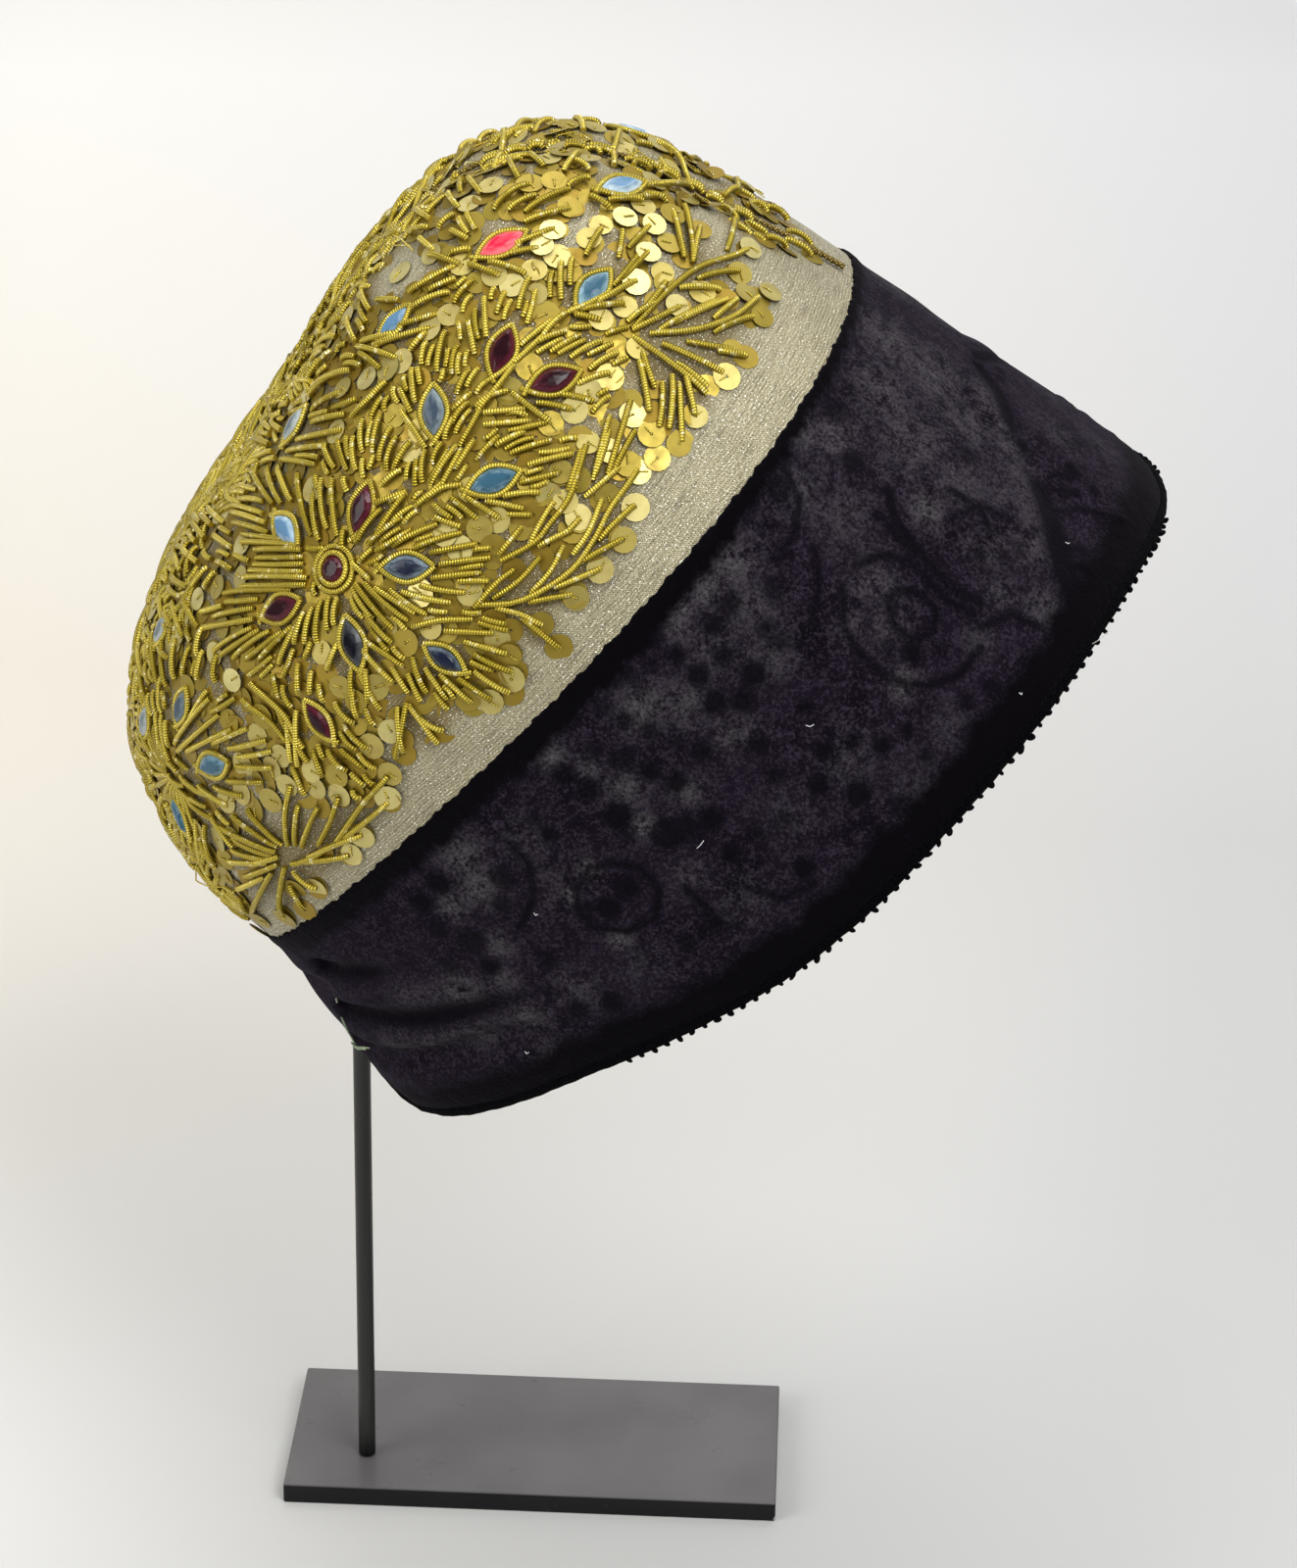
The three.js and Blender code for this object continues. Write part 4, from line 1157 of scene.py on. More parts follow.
def knots_mesh():
    turn = np.arange(RIM_COLUMNS) * 360 / RIM_COLUMNS
    centre, out, away = rim_frame(turn)
    lean = math.radians(KNOT_LEAN)
    line = centre + (math.sin(lean) * out + math.cos(lean) * away) * (RIM_BINDING / 2 + KNOT_PROUD)
    aside = from_forehead(turn)
    sewn = (aside > KNOTS_START) & (aside < KNOTS_END)
    pairs = [(i, (i + 1) % RIM_COLUMNS) for i in range(RIM_COLUMNS)]
    edges = [(i, j) for i, j in pairs if sewn[i] and sewn[j]]
    mesh = make_mesh("knot_line", to_world(line), [], edges)
    sizes = {"Pitch": KNOT_PITCH * MM, "Size": KNOT_SIZE * MM, "Seed": 7, "Material": EDGE}
    made = grow("rim_knots", mesh, TREES["edge_knots"], sizes)
    shade_smooth(made)
    return made


make_piece("rolled_rim", rim_mesh(), EDGE, ["rim_binding"])
make_piece("rim_knots", knots_mesh(), EDGE)


# Cord in the groove of the centre seam, two strands twisted together, its gold painted dark for the shade
# in the groove
CORD_START = 0.03
CORD_STEPS = 1100
CORD_STRAND = 0.42
CORD_TWIST = 2.6
CORD_RADIUS = 0.7


def line_mesh(name, lines, thickness, shades):
    """Chains of edges, with a thickness and a shade for each."""
    points, edges, thick, tone = [], [], [], []
    for line, width, shade in zip(lines, thickness, shades):
        first = len(points)
        count = len(line)
        points.extend(line)
        edges.extend((first + i, first + i + 1) for i in range(count - 1))
        thick.extend(np.broadcast_to(width, count))
        tone.extend([shade] * count)
    mesh = make_mesh(name, np.array(points), [], edges)
    add_values(mesh, "thickness", thick)
    add_values(mesh, "shade", tone)
    return mesh


def seam_cord():
    way = np.linspace(CORD_START, 2 - CORD_START, CORD_STEPS)
    turn = np.where(way < 1, 0, 180)
    rise = np.where(way < 1, way, 2 - way)
    normal = unit(outward(crown_point, turn, rise) * IN_SEAM)
    line = crown_point(turn, rise) + normal * (SEAT_GAP + CORD_RADIUS)
    line[:, 1] = 0
    strands = []
    for start in (0, math.pi):
        angle = (2 * math.pi * lengths_along(line) / CORD_TWIST + start)[:, None]
        offset = normal * np.cos(angle) + np.array([0, 1, 0]) * np.sin(angle)
        strands.append(to_world(line + (CORD_RADIUS - CORD_STRAND) * offset))
    mesh = line_mesh("seam_line", strands, [1, 1], [0.5, 0.6])
    sizes = {"Radius": CORD_STRAND * MM, "Sides": 6, "Material": SEAM_GOLD}
    return grow("seam_cord", mesh, TREES["coils"], sizes)


make_piece("twisted_seam_cord", seam_cord(), SEAM_GOLD, ["seam_cord"])


# Stones
STONE_CORNERS = 16
STONE_HEIGHT = 1.9
WAIST_HEIGHT = 0.95
KITE_HEIGHT = 1.5
# Stones that show darker than others of their glass
DARKER_STONES = {"side_lower": 0.45, "back_lower": 0.5, "lower": 0.6, "upper_front": 0.36, "back": 0.75,
                 "petal_top": 0.85}


def tangents(turn, rise, lie):
    """A place on the crown with directions along and across a lie, and outward."""
    middle = crown_point(turn, rise)
    normal = outward(crown_point, turn, rise)
    napeward = crown_point(turn + 1, rise) - crown_point(turn - 1, rise)
    napeward = unit(napeward - normal * (napeward @ normal))
    topward = np.cross(normal, napeward)
    topward = -topward if topward[2] < 0 else topward
    along = napeward * math.cos(math.radians(lie)) + topward * math.sin(math.radians(lie))
    return middle, along, np.cross(normal, along), normal


def stone_frames():
    """Seat and directions of every stone of the left half, by name."""
    frames = {}
    window = np.arange(-10, 11)
    for name, turn, rise, lie, kind, _ in STONES:
        middle, along, across, normal = tangents(turn, rise, lie)
        reach = STONE_KINDS[kind][0] / 2 + COLLAR_WIDTH
        offset = crown_point(*np.meshgrid(np.clip(turn + window, 0, 180), rise + window / 100)) - middle
        height = offset @ normal
        aside = np.linalg.norm(offset - height[..., None] * normal, axis=-1)
        lift = SEAT_GAP + max(0, height[aside < reach].max())
        frames[name] = (middle + normal * lift, along, across, normal)
    return frames


FRAMES = stone_frames()


def stone_outline(kind, widen, count):
    length, width = STONE_KINDS[kind]
    angle = 2 * math.pi * np.arange(count) / count
    x = np.cos(angle) * (length / 2 + widen)
    if length > width:
        belly = np.sign(np.sin(angle)) * np.sin(angle) ** 2 * (width / 2 + widen)
        return x, belly + 0.35 * widen * np.sin(angle)
    return x, np.sin(angle) * (width / 2 + widen)


def stone_shape(kind):
    """A cut stone: a waist, a ring of kite facets and a low table, with a tone for each point that paints
    reflection, pale at the rim and dark in the middle.
    """
    n = STONE_CORNERS
    half = n // 2
    x, y = stone_outline(kind, 0.1, n)
    fine_x, fine_y = stone_outline(kind, 0.0, 2 * n)
    rings = [np.stack([x, y, np.zeros(n)], -1),
             np.stack([x, y, np.full(n, WAIST_HEIGHT)], -1),
             np.stack([fine_x[2::4] * 0.84, fine_y[2::4] * 0.8, np.full(half, KITE_HEIGHT)], -1),
             np.stack([x[0::2] * 0.66, y[0::2] * 0.62, np.full(half, STONE_HEIGHT - 0.1)], -1),
             np.stack([x[0::2] * 0.3, y[0::2] * 0.3, np.full(half, STONE_HEIGHT - 0.02)], -1),
             np.array([[0, 0, STONE_HEIGHT]])]
    tones = [np.full(n, 0.5), np.full(n, 1.0), np.full(half, 0.72), np.full(half, 0.36),
             np.full(half, 0.05), np.zeros(1)]
    points = np.concatenate(rings)
    faces = []
    a, b, c, d = n, 2 * n, 2 * n + half, 2 * n + 2 * half
    for i in range(n):
        faces.append([i, (i + 1) % n, a + (i + 1) % n, a + i])
    for i in range(half):
        near, after = 2 * i, (2 * i + 2) % n
        mid, more = 2 * i + 1, (i + 1) % half
        faces.append([a + near, a + mid, b + i])
        faces.append([a + mid, a + after, b + i])
        faces.append([a + after, c + more, b + i])
        faces.append([a + near, b + i, c + i])
        faces.append([b + i, c + more, c + i])
        faces.append([c + i, c + more, d + more, d + i])
        faces.append([d + i, d + more, d + half])
    faces.append(list(range(n))[::-1])
    return points, faces, np.concatenate(tones)


def on_seat(name, x, y, high=0.0):
    """Points beside and above the seat of a stone."""
    seat, along, across, normal = FRAMES[name]
    return seat + np.outer(x, along) + np.outer(y, across) + np.outer(high, normal)


def stones_mesh(colour):
    points, faces, tones = [], [], []
    chosen = [stone for stone in STONES if stone[5] == colour]
    for side in (1, -1):
        for name, _, _, _, kind, _ in chosen:
            shape, sides, tone = stone_shape(kind)
            # Painted reflection and shade: each stone is paler at one side of its length and darker at the
            # other.
            tone = tone * (1 - 0.25 * shape[:, 1] / STONE_KINDS[kind][1]) * DARKER_STONES.get(name, 1)
            first = len(points)
            points.extend(on_seat(name, *shape.T) * np.array([1, side, 1]))
            for loop in sides:
                loop = loop[::side]
                # Painted flashes of reflection, a different tone on each facet.
                play = random.uniform(-0.16, 0.16) if len(loop) < 8 else 0    # none on the flat back
                tones.extend(tone[i] + play for i in loop)
                faces.append([first + i for i in loop])
    mesh = make_mesh("stones", to_world(np.array(points)), faces)
    attribute = mesh.attributes.new("tone", "FLOAT", "CORNER")
    attribute.data.foreach_set("value", np.array(tones, np.float32))
    shade_smooth(mesh, False)
    return mesh


for colour in GLASS:
    names = [f"stone_{s[0]}_{side}" for s in STONES if s[5] == colour for side in ("left", "right")]
    make_piece("glass_stones_" + colour, stones_mesh(colour), GLASS[colour], names)


# Gold embroidery
COIL_RADIUS = 0.68
COIL_SIDES = 6
COIL_POINTS = 9
COIL_CLEAR = 5.4        # least pixels from a filling coil to what is there already
FILL_TRIES = 9000
FILL_SHORTEST = 13      # pixels
FILL_LONGEST = 30
COIL_FROM_SEAM = 0.9    # least millimetres from the middle of the seam
SEQUIN_FROM_SEAM = 1.5
SEQUIN_RADIUS = 2.85
SEQUIN_HOLE = 0.35
SEQUIN_THICKNESS = 0.12
SEQUIN_TILT = 0.16
STITCH = [(-0.2, 0.1), (0.8, 0.24), (1.9, 0.14)]    # along the sequin and over it
STITCH_RADIUS = 0.17
LINING_RADIUS = 0.2
LINT_RADIUS = 0.09
coils = []              # line in the left half's axes, thickness along it, shade
sequins = []            # place, lie and outward direction in the same axes, size, shade
stitches = []           # as coils

# Outline of the patch of close embroidery, in pixels, and bare spots in it with their reach
CLOSE_PATCH = [
    (262, 935), (215, 878), (178, 830), (155, 785), (143, 722), (146, 662), (161, 622), (176, 577),
    (196, 522), (225, 487), (248, 455), (283, 405), (310, 372), (340, 337), (352, 305), (375, 318),
    (410, 303), (440, 285), (470, 262), (510, 268), (545, 280), (575, 300), (600, 318), (640, 330),
    (642, 368), (630, 398), (595, 408), (560, 412), (548, 440), (590, 452), (588, 480), (560, 500),
    (548, 528), (500, 530), (480, 545), (498, 560), (503, 600), (488, 612), (515, 640), (525, 678),
    (512, 705), (480, 712), (440, 716), (408, 698), (390, 712), (388, 745), (380, 772), (392, 790),
    (398, 815), (368, 848), (352, 872), (325, 888), (292, 935),
]
BARE_SPOTS = [
    (318, 905, 14), (340, 825, 9), (425, 300, 12), (520, 300, 8), (462, 500, 10), (445, 545, 8),
    (385, 690, 6), (300, 700, 6),
]

# Coils that lie close together, as they show in the photograph: pixels along each, root first
DENSE_COILS = [
    # round side_lower
    (522,463, 562,450), (540,475, 584,464), (532,493, 570,483), (515,507, 551,503), (497,512, 534,519),
    (476,507, 509,528), (461,508, 487,529), (444,515, 461,528), (487,469, 509,446), (507,455, 535,442),
    (435,510, 452,499, 470,495), (441,495, 467,455), (449,501, 472,459), (466,478, 484,450),
    (425,517, 440,505, 455,490),
    # right of petal_front
    (400,512, 415,504), (400,535, 422,517), (402,557, 447,535), (424,559, 471,544), (441,564, 487,555),
    (450,576, 500,569), (442,590, 491,584), (430,597, 475,604), (412,604, 460,614), (400,602, 436,626),
    (385,548, 414,506), (378,556, 412,528), (368,550, 391,520), (386,562, 420,541),
    # round lower
    (422,639, 450,632, 482,631), (455,643, 504,645), (475,654, 517,666), (485,667, 522,684),
    (485,684, 519,705), (469,691, 501,712), (450,687, 481,715), (435,681, 456,711), (422,670, 436,705),
    # heart rays, clockwise from the upper left
    (320,547, 306,485), (328,552, 323,506), (328,500, 325,487), (336,540, 331,490), (346,547, 341,490),
    (300,512, 287,478), (290,515, 276,479), (282,515, 260,480), (272,513, 246,512), (270,525, 238,517),
    (274,535, 240,524), (277,545, 242,535), (297,552, 250,546), (305,557, 250,554), (310,562, 264,562),
    (312,569, 265,570), (312,576, 262,577), (312,584, 258,583), (316,590, 252,590), (315,597, 250,599),
    (300,602, 232,606), (267,612, 235,615), (262,621, 222,630), (262,632, 212,641), (260,641, 222,664),
    (268,643, 230,668), (278,644, 242,671), (291,644, 255,672), (301,639, 268,672), (307,636, 288,676),
    (313,625, 303,655), (321,620, 313,656), (330,613, 325,654), (338,610, 336,642), (346,611, 343,637),
    (362,600, 382,630), (365,596, 402,640), (374,595, 417,632), (375,625, 400,654), (380,640, 397,664),
    (376,654, 412,678), (372,662, 402,694), (367,682, 388,722), (375,682, 377,714), (361,680, 362,715),
    (347,655, 336,682), (385,600, 425,625),
    # round lower_back
    (307,677, 307,706), (344,716, 362,736), (352,738, 375,762), (407,720, 412,765), (337,764, 355,784),
    (350,764, 372,781), (285,720, 300,748, 316,776), (258,697, 293,727, 311,762),
    (250,714, 280,735, 297,757), (242,712, 218,726), (305,724, 306,780), (296,730, 300,775),
    (322,765, 330,790), (362,702, 366,730),
    # round back
    (220,757, 255,742), (237,762, 275,754), (246,771, 280,765), (245,781, 281,782), (235,796, 271,797),
    (222,802, 250,811), (206,800, 235,820), (188,791, 217,811), (182,800, 214,823), (196,815, 222,834),
    # second flower, upper rays
    (182,757, 217,712), (185,765, 227,728), (195,765, 240,742), (168,765, 163,727), (176,760, 173,735),
    (160,768, 148,742), (165,700, 160,645), (173,700, 170,652), (181,692, 183,652), (190,690, 197,660),
    (151,690, 146,658), (156,722, 148,682), (205,692, 211,664), (196,735, 214,704), (222,695, 225,668),
    (205,640, 190,612), (190,650, 180,615), (176,645, 168,610), (200,600, 215,580), (212,640, 205,668),
    # round back_lower
    (203,835, 208,876), (213,840, 222,880), (218,830, 240,862), (176,790, 190,800),
    # round upper_front
    (372,350, 405,341), (390,352, 440,336), (407,335, 450,322), (422,317, 460,300), (420,300, 466,274),
    (465,310, 485,288), (367,355, 407,367), (370,362, 390,377), (421,358, 436,341), (357,327, 366,350),
    (365,266, 373,252), (352,292, 364,268), (342,313, 352,291), (372,300, 380,318), (330,352, 345,345),
    # round side_upper
    (447,380, 455,340), (462,382, 467,355), (467,402, 478,380), (464,418, 481,402), (422,378, 425,411),
    (410,398, 420,420), (411,421, 435,457), (463,432, 478,412), (455,448, 466,425), (432,372, 436,352),
    # round upper_side
    (319,405, 342,384), (322,420, 352,402), (322,432, 355,424), (307,450, 352,440), (297,462, 337,456),
    (290,470, 325,475), (310,400, 307,370), (317,390, 332,367), (327,392, 360,379), (327,375, 341,360),
    (362,426, 380,410, 396,391), (300,395, 292,372), (285,400, 278,385), (280,440, 268,425),
    (278,455, 262,450),
    # above petal_top
    (372,462, 372,430), (382,462, 390,425), (389,470, 401,437), (396,480, 406,447), (392,496, 411,480),
    (384,515, 415,502), (366,480, 364,447), (356,480, 347,450), (425,495, 427,470), (432,492, 435,460),
    (440,490, 458,460), (344,478, 334,455), (404,478, 420,452),
    # round the pair
    (495,422, 535,418), (495,434, 540,430), (487,415, 502,405, 517,400), (523,402, 545,420, 561,431),
    (548,412, 583,419), (573,404, 605,411), (590,393, 621,382), (602,378, 629,362), (582,366, 613,350),
    (562,360, 590,344), (605,421, 621,406), (497,345, 495,306), (485,362, 479,330), (507,320, 515,300),
    (538,331, 546,299), (529,316, 540,285), (532,353, 566,326), (524,372, 557,341),
    (488,420, 507,398, 525,374), (470,455, 492,416), (518,422, 536,424), (546,352, 576,340),
    (520,440, 558,432),
    # round temple
    (625,293, 650,262), (632,288, 661,259), (607,311, 648,289), (592,318, 636,312),
    (577,321, 600,312, 620,300), (587,323, 611,329), (572,307, 572,270), (581,292, 583,266),
    (597,262, 612,236), (630,265, 634,238), (553,345, 577,321), (640,255, 662,232),
    # round bright
    (525,252, 565,236), (517,262, 551,255), (500,270, 536,281), (480,272, 510,283), (536,228, 581,215),
    (536,218, 581,195), (520,216, 546,202), (505,216, 521,200), (515,205, 541,191), (480,256, 461,261),
    (478,246, 462,238), (486,236, 478,220), (440,262, 470,272),
    # round brow
    (665,192, 705,194), (655,202, 677,207), (670,182, 691,180), (601,203, 621,215), (620,207, 653,207),
    (645,206, 677,205), (656,193, 681,192), (600,185, 580,192), (600,176, 584,168), (625,172, 622,155),
    (645,172, 655,156), (660,176, 675,164),
    # along the seam and top
    (720,180, 735,200), (745,200, 765,215), (700,165, 716,178), (760,230, 780,242), (780,245, 800,255),
    (800,248, 825,262), (735,215, 750,228), (690,160, 672,172), (640,150, 660,160), (590,160, 575,178),
    (560,150, 575,140), (540,160, 555,172), (520,165, 530,185), (500,150, 520,142), (470,170, 480,155),
    (440,195, 452,180), (425,215, 440,225), (450,235, 465,222), (420,240, 440,235), (400,230, 412,215),
    (395,250, 410,240), (412,205, 425,195), (430,245, 445,258), (460,200, 470,215), (480,185, 492,200),
    (470,225, 478,240), (505,175, 515,160), (520,150, 540,148), (545,142, 560,135), (578,146, 600,142),
    (604,140, 628,148), (648,145, 668,150), (612,160, 600,150),
    # left edge
    (262,470, 280,462), (240,480, 255,470), (225,495, 245,490), (215,520, 232,535), (222,548, 240,560),
    (200,535, 212,550), (190,560, 205,575), (180,590, 195,600), (225,575, 240,582), (212,600, 222,585),
    (172,625, 182,640), (160,650, 158,672), (150,700, 152,720), (262,440, 275,420), (275,415, 290,408),
    (246,455, 262,440), (235,500, 222,515), (205,560, 195,585), (230,470, 245,462), (290,345, 305,360),
    (300,362, 318,352), (318,330, 330,345), (330,318, 345,328), (335,300, 348,312), (350,285, 362,275),
    (300,380, 312,362), (285,365, 298,372), (268,400, 280,392), (188,610, 176,600), (168,660, 176,672),
]

# Coils with bare cloth around them
OPEN_COILS = [
    # long fern below side_lower
    (485,617, 532,612, 580,584, 605,552, 622,520, 638,498, 650,480), (540,614, 585,606),
    (566,599, 612,580), (591,574, 635,550), (611,551, 647,516), (485,619, 508,594, 525,581),
    (504,610, 530,592, 551,569), (542,604, 562,582, 575,557), (585,565, 601,542, 614,510),
    (572,547, 591,530),
    # second fern
    (512,572, 545,554, 562,534, 580,510, 590,482, 598,455), (510,565, 532,539), (540,557, 565,513),
    (550,557, 584,540), (597,507, 632,477), (607,484, 621,440), (580,500, 593,460), (605,490, 622,425),
    (620,484, 643,410), (626,480, 648,440),
    # twig
    (507,620, 533,626, 552,637), (533,630, 550,643, 570,660), (416,716, 412,740, 405,772),
    (418,718, 432,735, 447,757), (425,728, 440,738, 452,744),
    # fan on the border at the back
    (290,860, 255,825), (285,862, 240,832), (284,867, 228,842), (280,871, 240,854), (277,875, 240,866),
    (275,878, 237,877), (296,860, 295,830, 299,800), (303,860, 306,820), (310,862, 326,822),
    (327,860, 340,835, 347,812), (345,857, 372,818, 397,790), (350,855, 397,817),
    (317,872, 345,858, 370,850), (310,877, 357,871), (302,887, 324,904), (293,882, 289,915, 292,932),
    (285,880, 252,893), (280,888, 260,927), (272,893, 245,905), (300,880, 330,868), (286,872, 260,880),
    # stems above the big fern
    (685,217, 697,265), (697,212, 706,270), (706,268, 712,235), (740,258, 748,225),
    # big fern toward the forehead
    (645,337, 680,300, 710,277, 745,265, 761,257), (710,287, 752,279), (692,296, 733,298),
    (645,338, 692,315), (640,330, 670,310), (655,320, 678,290), (672,338, 732,308), (687,331, 741,307),
    (662,342, 705,340, 745,327, 772,305), (727,327, 750,308), (727,341, 766,325), (700,350, 747,359),
    (732,360, 760,365), (645,345, 675,367, 700,386, 720,403), (675,353, 736,382), (690,372, 720,396),
    (655,360, 667,396), (652,370, 657,395, 662,420), (675,392, 672,436), (685,385, 682,438),
    (692,392, 695,451), (697,380, 708,424),
]

# Sequins, by the pixel of their hole
SEQUINS = [
    (242,693), (222,667), (205,612), (233,522), (250,556), (248,590), (236,735), (280,783), (289,770),
    (295,800), (324,802), (347,810), (399,788), (397,812), (370,852), (360,870), (324,905), (292,935),
    (268,937), (264,952), (233,892), (232,875), (240,852), (262,824), (279,815), (234,817), (249,808),
    (410,280), (473,272), (487,290), (505,283), (440,337), (398,377), (376,387), (352,397), (412,370),
    (405,425), (356,326), (345,441), (322,500), (564,238), (553,254), (568,263), (545,277), (547,302),
    (557,322), (523,293), (460,323), (442,262), (480,210), (453,181), (488,173), (502,192), (541,148),
    (541,190), (565,187), (581,214), (612,232), (600,245), (636,225), (665,233), (660,261), (648,291),
    (682,250), (675,280), (637,315), (612,327), (690,314), (685,221), (775,219), (763,257), (770,236),
    (753,281), (784,300), (776,325), (760,301), (740,386), (709,426), (692,454), (664,444), (670,468),
    (650,357), (622,386), (562,433), (586,420), (645,424), (640,474), (651,482), (648,518), (636,551),
    (612,581), (588,610), (620,507), (577,512), (590,528), (572,482), (508,531), (490,540), (622,461),
    (600,452), (560,506), (508,652), (520,668), (522,692), (500,715), (478,712), (730,190), (715,300),
    (700,205), (655,212), (182,655), (160,622), (165,560), (260,470), (215,480), (230,640), (350,700),
    (330,665), (420,460), (430,605), (440,640), (480,605), (590,490), (600,165), (640,150), (675,160),
    (560,165), (420,215), (365,265), (340,345), (300,385), (285,395), (395,640), (415,655), (385,700),
    (365,715), (400,745), (380,760), (345,790), (320,785), (270,730), (255,660), (245,640), (470,560),
    (455,545), (480,500), (430,440), (520,400), (540,375), (600,400), (172,640), (152,740), (146,760),
    (160,800), (205,845), (225,855), (250,780), (265,750), (195,700), (225,600),
]


# Sprays on the side away from the camera: turn, rise, lie, reach, number of barbs
HIDDEN_SPRAYS = [
    (165, 0.16, 80, 16, 5), (150, 0.14, 120, 14, 4), (172, 0.36, 100, 16, 5), (160, 0.58, 60, 16, 5),
    (172, 0.66, 130, 14, 4), (150, 0.74, 30, 16, 5), (120, 0.66, -20, 16, 5), (118, 0.8, 160, 16, 5),
    (100, 0.72, 60, 15, 5), (85, 0.84, 10, 16, 5), (60, 0.82, 100, 14, 4), (12, 0.62, 60, 12, 4),
    (20, 0.8, 100, 12, 4), (140, 0.86, 60, 14, 4), (170, 0.84, 40, 12, 4), (8, 0.48, 90, 10, 3),
]

# Rings of rays on that side: turn, rise, first and last angle, inner and outer radius, number
HIDDEN_RAYS = [
    (143, 0.37, -80, 110, 3, 13, 15), (143, 0.37, -80, 110, 14, 21, 17), (160, 0.76, 0, 340, 3, 11, 16),
    (110, 0.88, 0, 340, 3, 10, 14), (70, 0.9, 0, 340, 3, 9, 12),
]

# Where close coils fan out from on that side, as turn and rise
TUFT_ROOTS = [
    (176, 0.14), (160, 0.24), (170, 0.5), (154, 0.62), (174, 0.76), (150, 0.86), (128, 0.78), (132, 0.94),
    (105, 0.84), (88, 0.93), (75, 0.82), (50, 0.9), (45, 0.78), (22, 0.86), (28, 0.7), (6, 0.74),
    (10, 0.56), (3, 0.4), (12, 0.95), (170, 0.93), (120, 0.6), (178, 0.3),
]
TUFT_TRIES = 9000
TUFT_CLEAR = 1.3        # least millimetres from a coil of a tuft to what is there already
RIDGE_CLEAR = 4.2       # the same along the worn top of the seam
RIDGE_WIDTH = 11
PLAIN_EDGES = [(0, 0.13), (40, 0.2), (120, 0.16), (150, 0.09), (180, 0.06)]

# Loose ends of gold thread: pixels and millimetres off the cloth along each
LOOSE_THREADS = [
    (214, 868, 0.4, 212, 876, 3.0, 218, 887, 4.6, 228, 893, 4.2, 238, 900, 2.0, 240, 908, 0.5),
    (225, 890, 0.5, 226, 897, 3.4, 236, 905, 3.6, 244, 906, 0.6),
    (402, 238, 0.5, 408, 246, 1.6, 418, 252, 2.4, 428, 262, 2.0),
    (395, 250, 0.5, 410, 255, 1.4, 424, 256, 1.8),
    (566, 150, 0.5, 572, 142, 3.0, 590, 140, 4.0, 606, 145, 2.5),
    (640, 152, 0.5, 650, 146, 3.2, 664, 156, 2.0),
    (498, 158, 0.6, 490, 152, 2.6, 484, 158, 0.8),
    (190, 560, 0.5, 184, 556, 2.4, 180, 566, 1.0),
]

# Ends of the green lining at the nape and lint on the velvet, in the same way
LINING_ENDS = [
    (344, 1018, 0.3, 349, 1034, 0.5, 356, 1050, 0.5, 364, 1063, 0.6),
    (360, 1062, 0.6, 369, 1067, 1.3, 379, 1069, 0.5), (362, 1065, 0.5, 369, 1069, 0.9, 376, 1070, 0.6),
]
LINT_ENDS = [
    (711, 865, 0.3, 714, 862, 0.6, 718, 857, 0.3), (545, 931, 0.3, 547, 933, 0.5, 549, 932, 0.3),
    (536, 1072, 0.3, 538, 1074, 0.5, 540, 1073, 0.3), (1039, 707, 0.3, 1041, 709, 0.5, 1042, 707, 0.3),
    (1086, 554, 0.3, 1088, 556, 0.5, 1090, 555, 0.3), (822, 740, 0.3, 826, 741, 0.5, 830, 739, 0.3),
    (1120, 662, 0.3, 1128, 667, 2.2, 1137, 668, 4.2, 1146, 672, 5.6),
]


# The sequins that catch the light
BRIGHT_SEQUINS = [
    (242, 693), (763, 257), (660, 261), (636, 225), (564, 238), (553, 254), (665, 233), (648, 291),
]


def tapered(count, ends=0.72):
    t = np.linspace(-1, 1, count)
    return ends + (1 - ends) * (1 - t ** 8)


def lay(places, arch=0.5, base=0.0):
    """A coil through places on the crown, given as turn and rise, arched off the cloth."""
    t = np.linspace(0, 1, len(places))
    lift = base + COIL_RADIUS * 0.6 + arch * (4 * t * (1 - t)) ** 0.5
    points = crown_point(*places.T) + outward(crown_point, *places.T) * lift[:, None]
    points[:, 1] = np.maximum(points[:, 1], COIL_FROM_SEAM)
    coils.append((points, tapered(len(places)), random.uniform(0.2, 1.0)))


def bent_line(start, end, bend, count=COIL_POINTS):
    """A shallow arc between two flat points, its middle moved aside by bend."""
    start, end = np.asarray(start, float), np.asarray(end, float)
    t = np.linspace(0, 1, count)[:, None]
    side = np.array([end[1] - start[1], start[0] - end[0]])
    side = side / max(np.linalg.norm(side), 1e-6)
    return start + (end - start) * t + side * bend * 4 * t * (1 - t)


def through(row):
    """A smooth line of pixels through the points of a chart row."""
    points = np.array(row, float).reshape(-1, 2)
    if len(points) == 2:
        return bent_line(points[0], points[1], random.uniform(-1.3, 1.3))
    count = COIL_POINTS + 3 * (len(points) - 2)
    ends = [2 * points[0] - points[1], *points, 2 * points[-1] - points[-2]]
    line = []
    for at in np.linspace(0, len(points) - 1, count):
        i = min(int(at), len(points) - 2)
        f = at - i
        a, b, c, d = ends[i:i + 4]
        line.append(0.5 * (2 * b + (c - a) * f + (2 * a - 5 * b + 4 * c - d) * f ** 2
                           + (3 * b - a - 3 * c + d) * f ** 3))
    return np.array(line)


def inside(points, outline):
    """Which flat points lie inside an outline."""
    x, y = points[:, 0], points[:, 1]
    within = np.zeros(len(points), bool)
    corners = np.array(outline, float)
    for (ax, ay), (bx, by) in zip(corners, np.roll(corners, -1, axis=0)):
        crosses = (ay > y) != (by > y)
        at = ax + (y - ay) * (bx - ax) / (by - ay if by != ay else 1)
        within ^= crosses & (x < at)
    return within


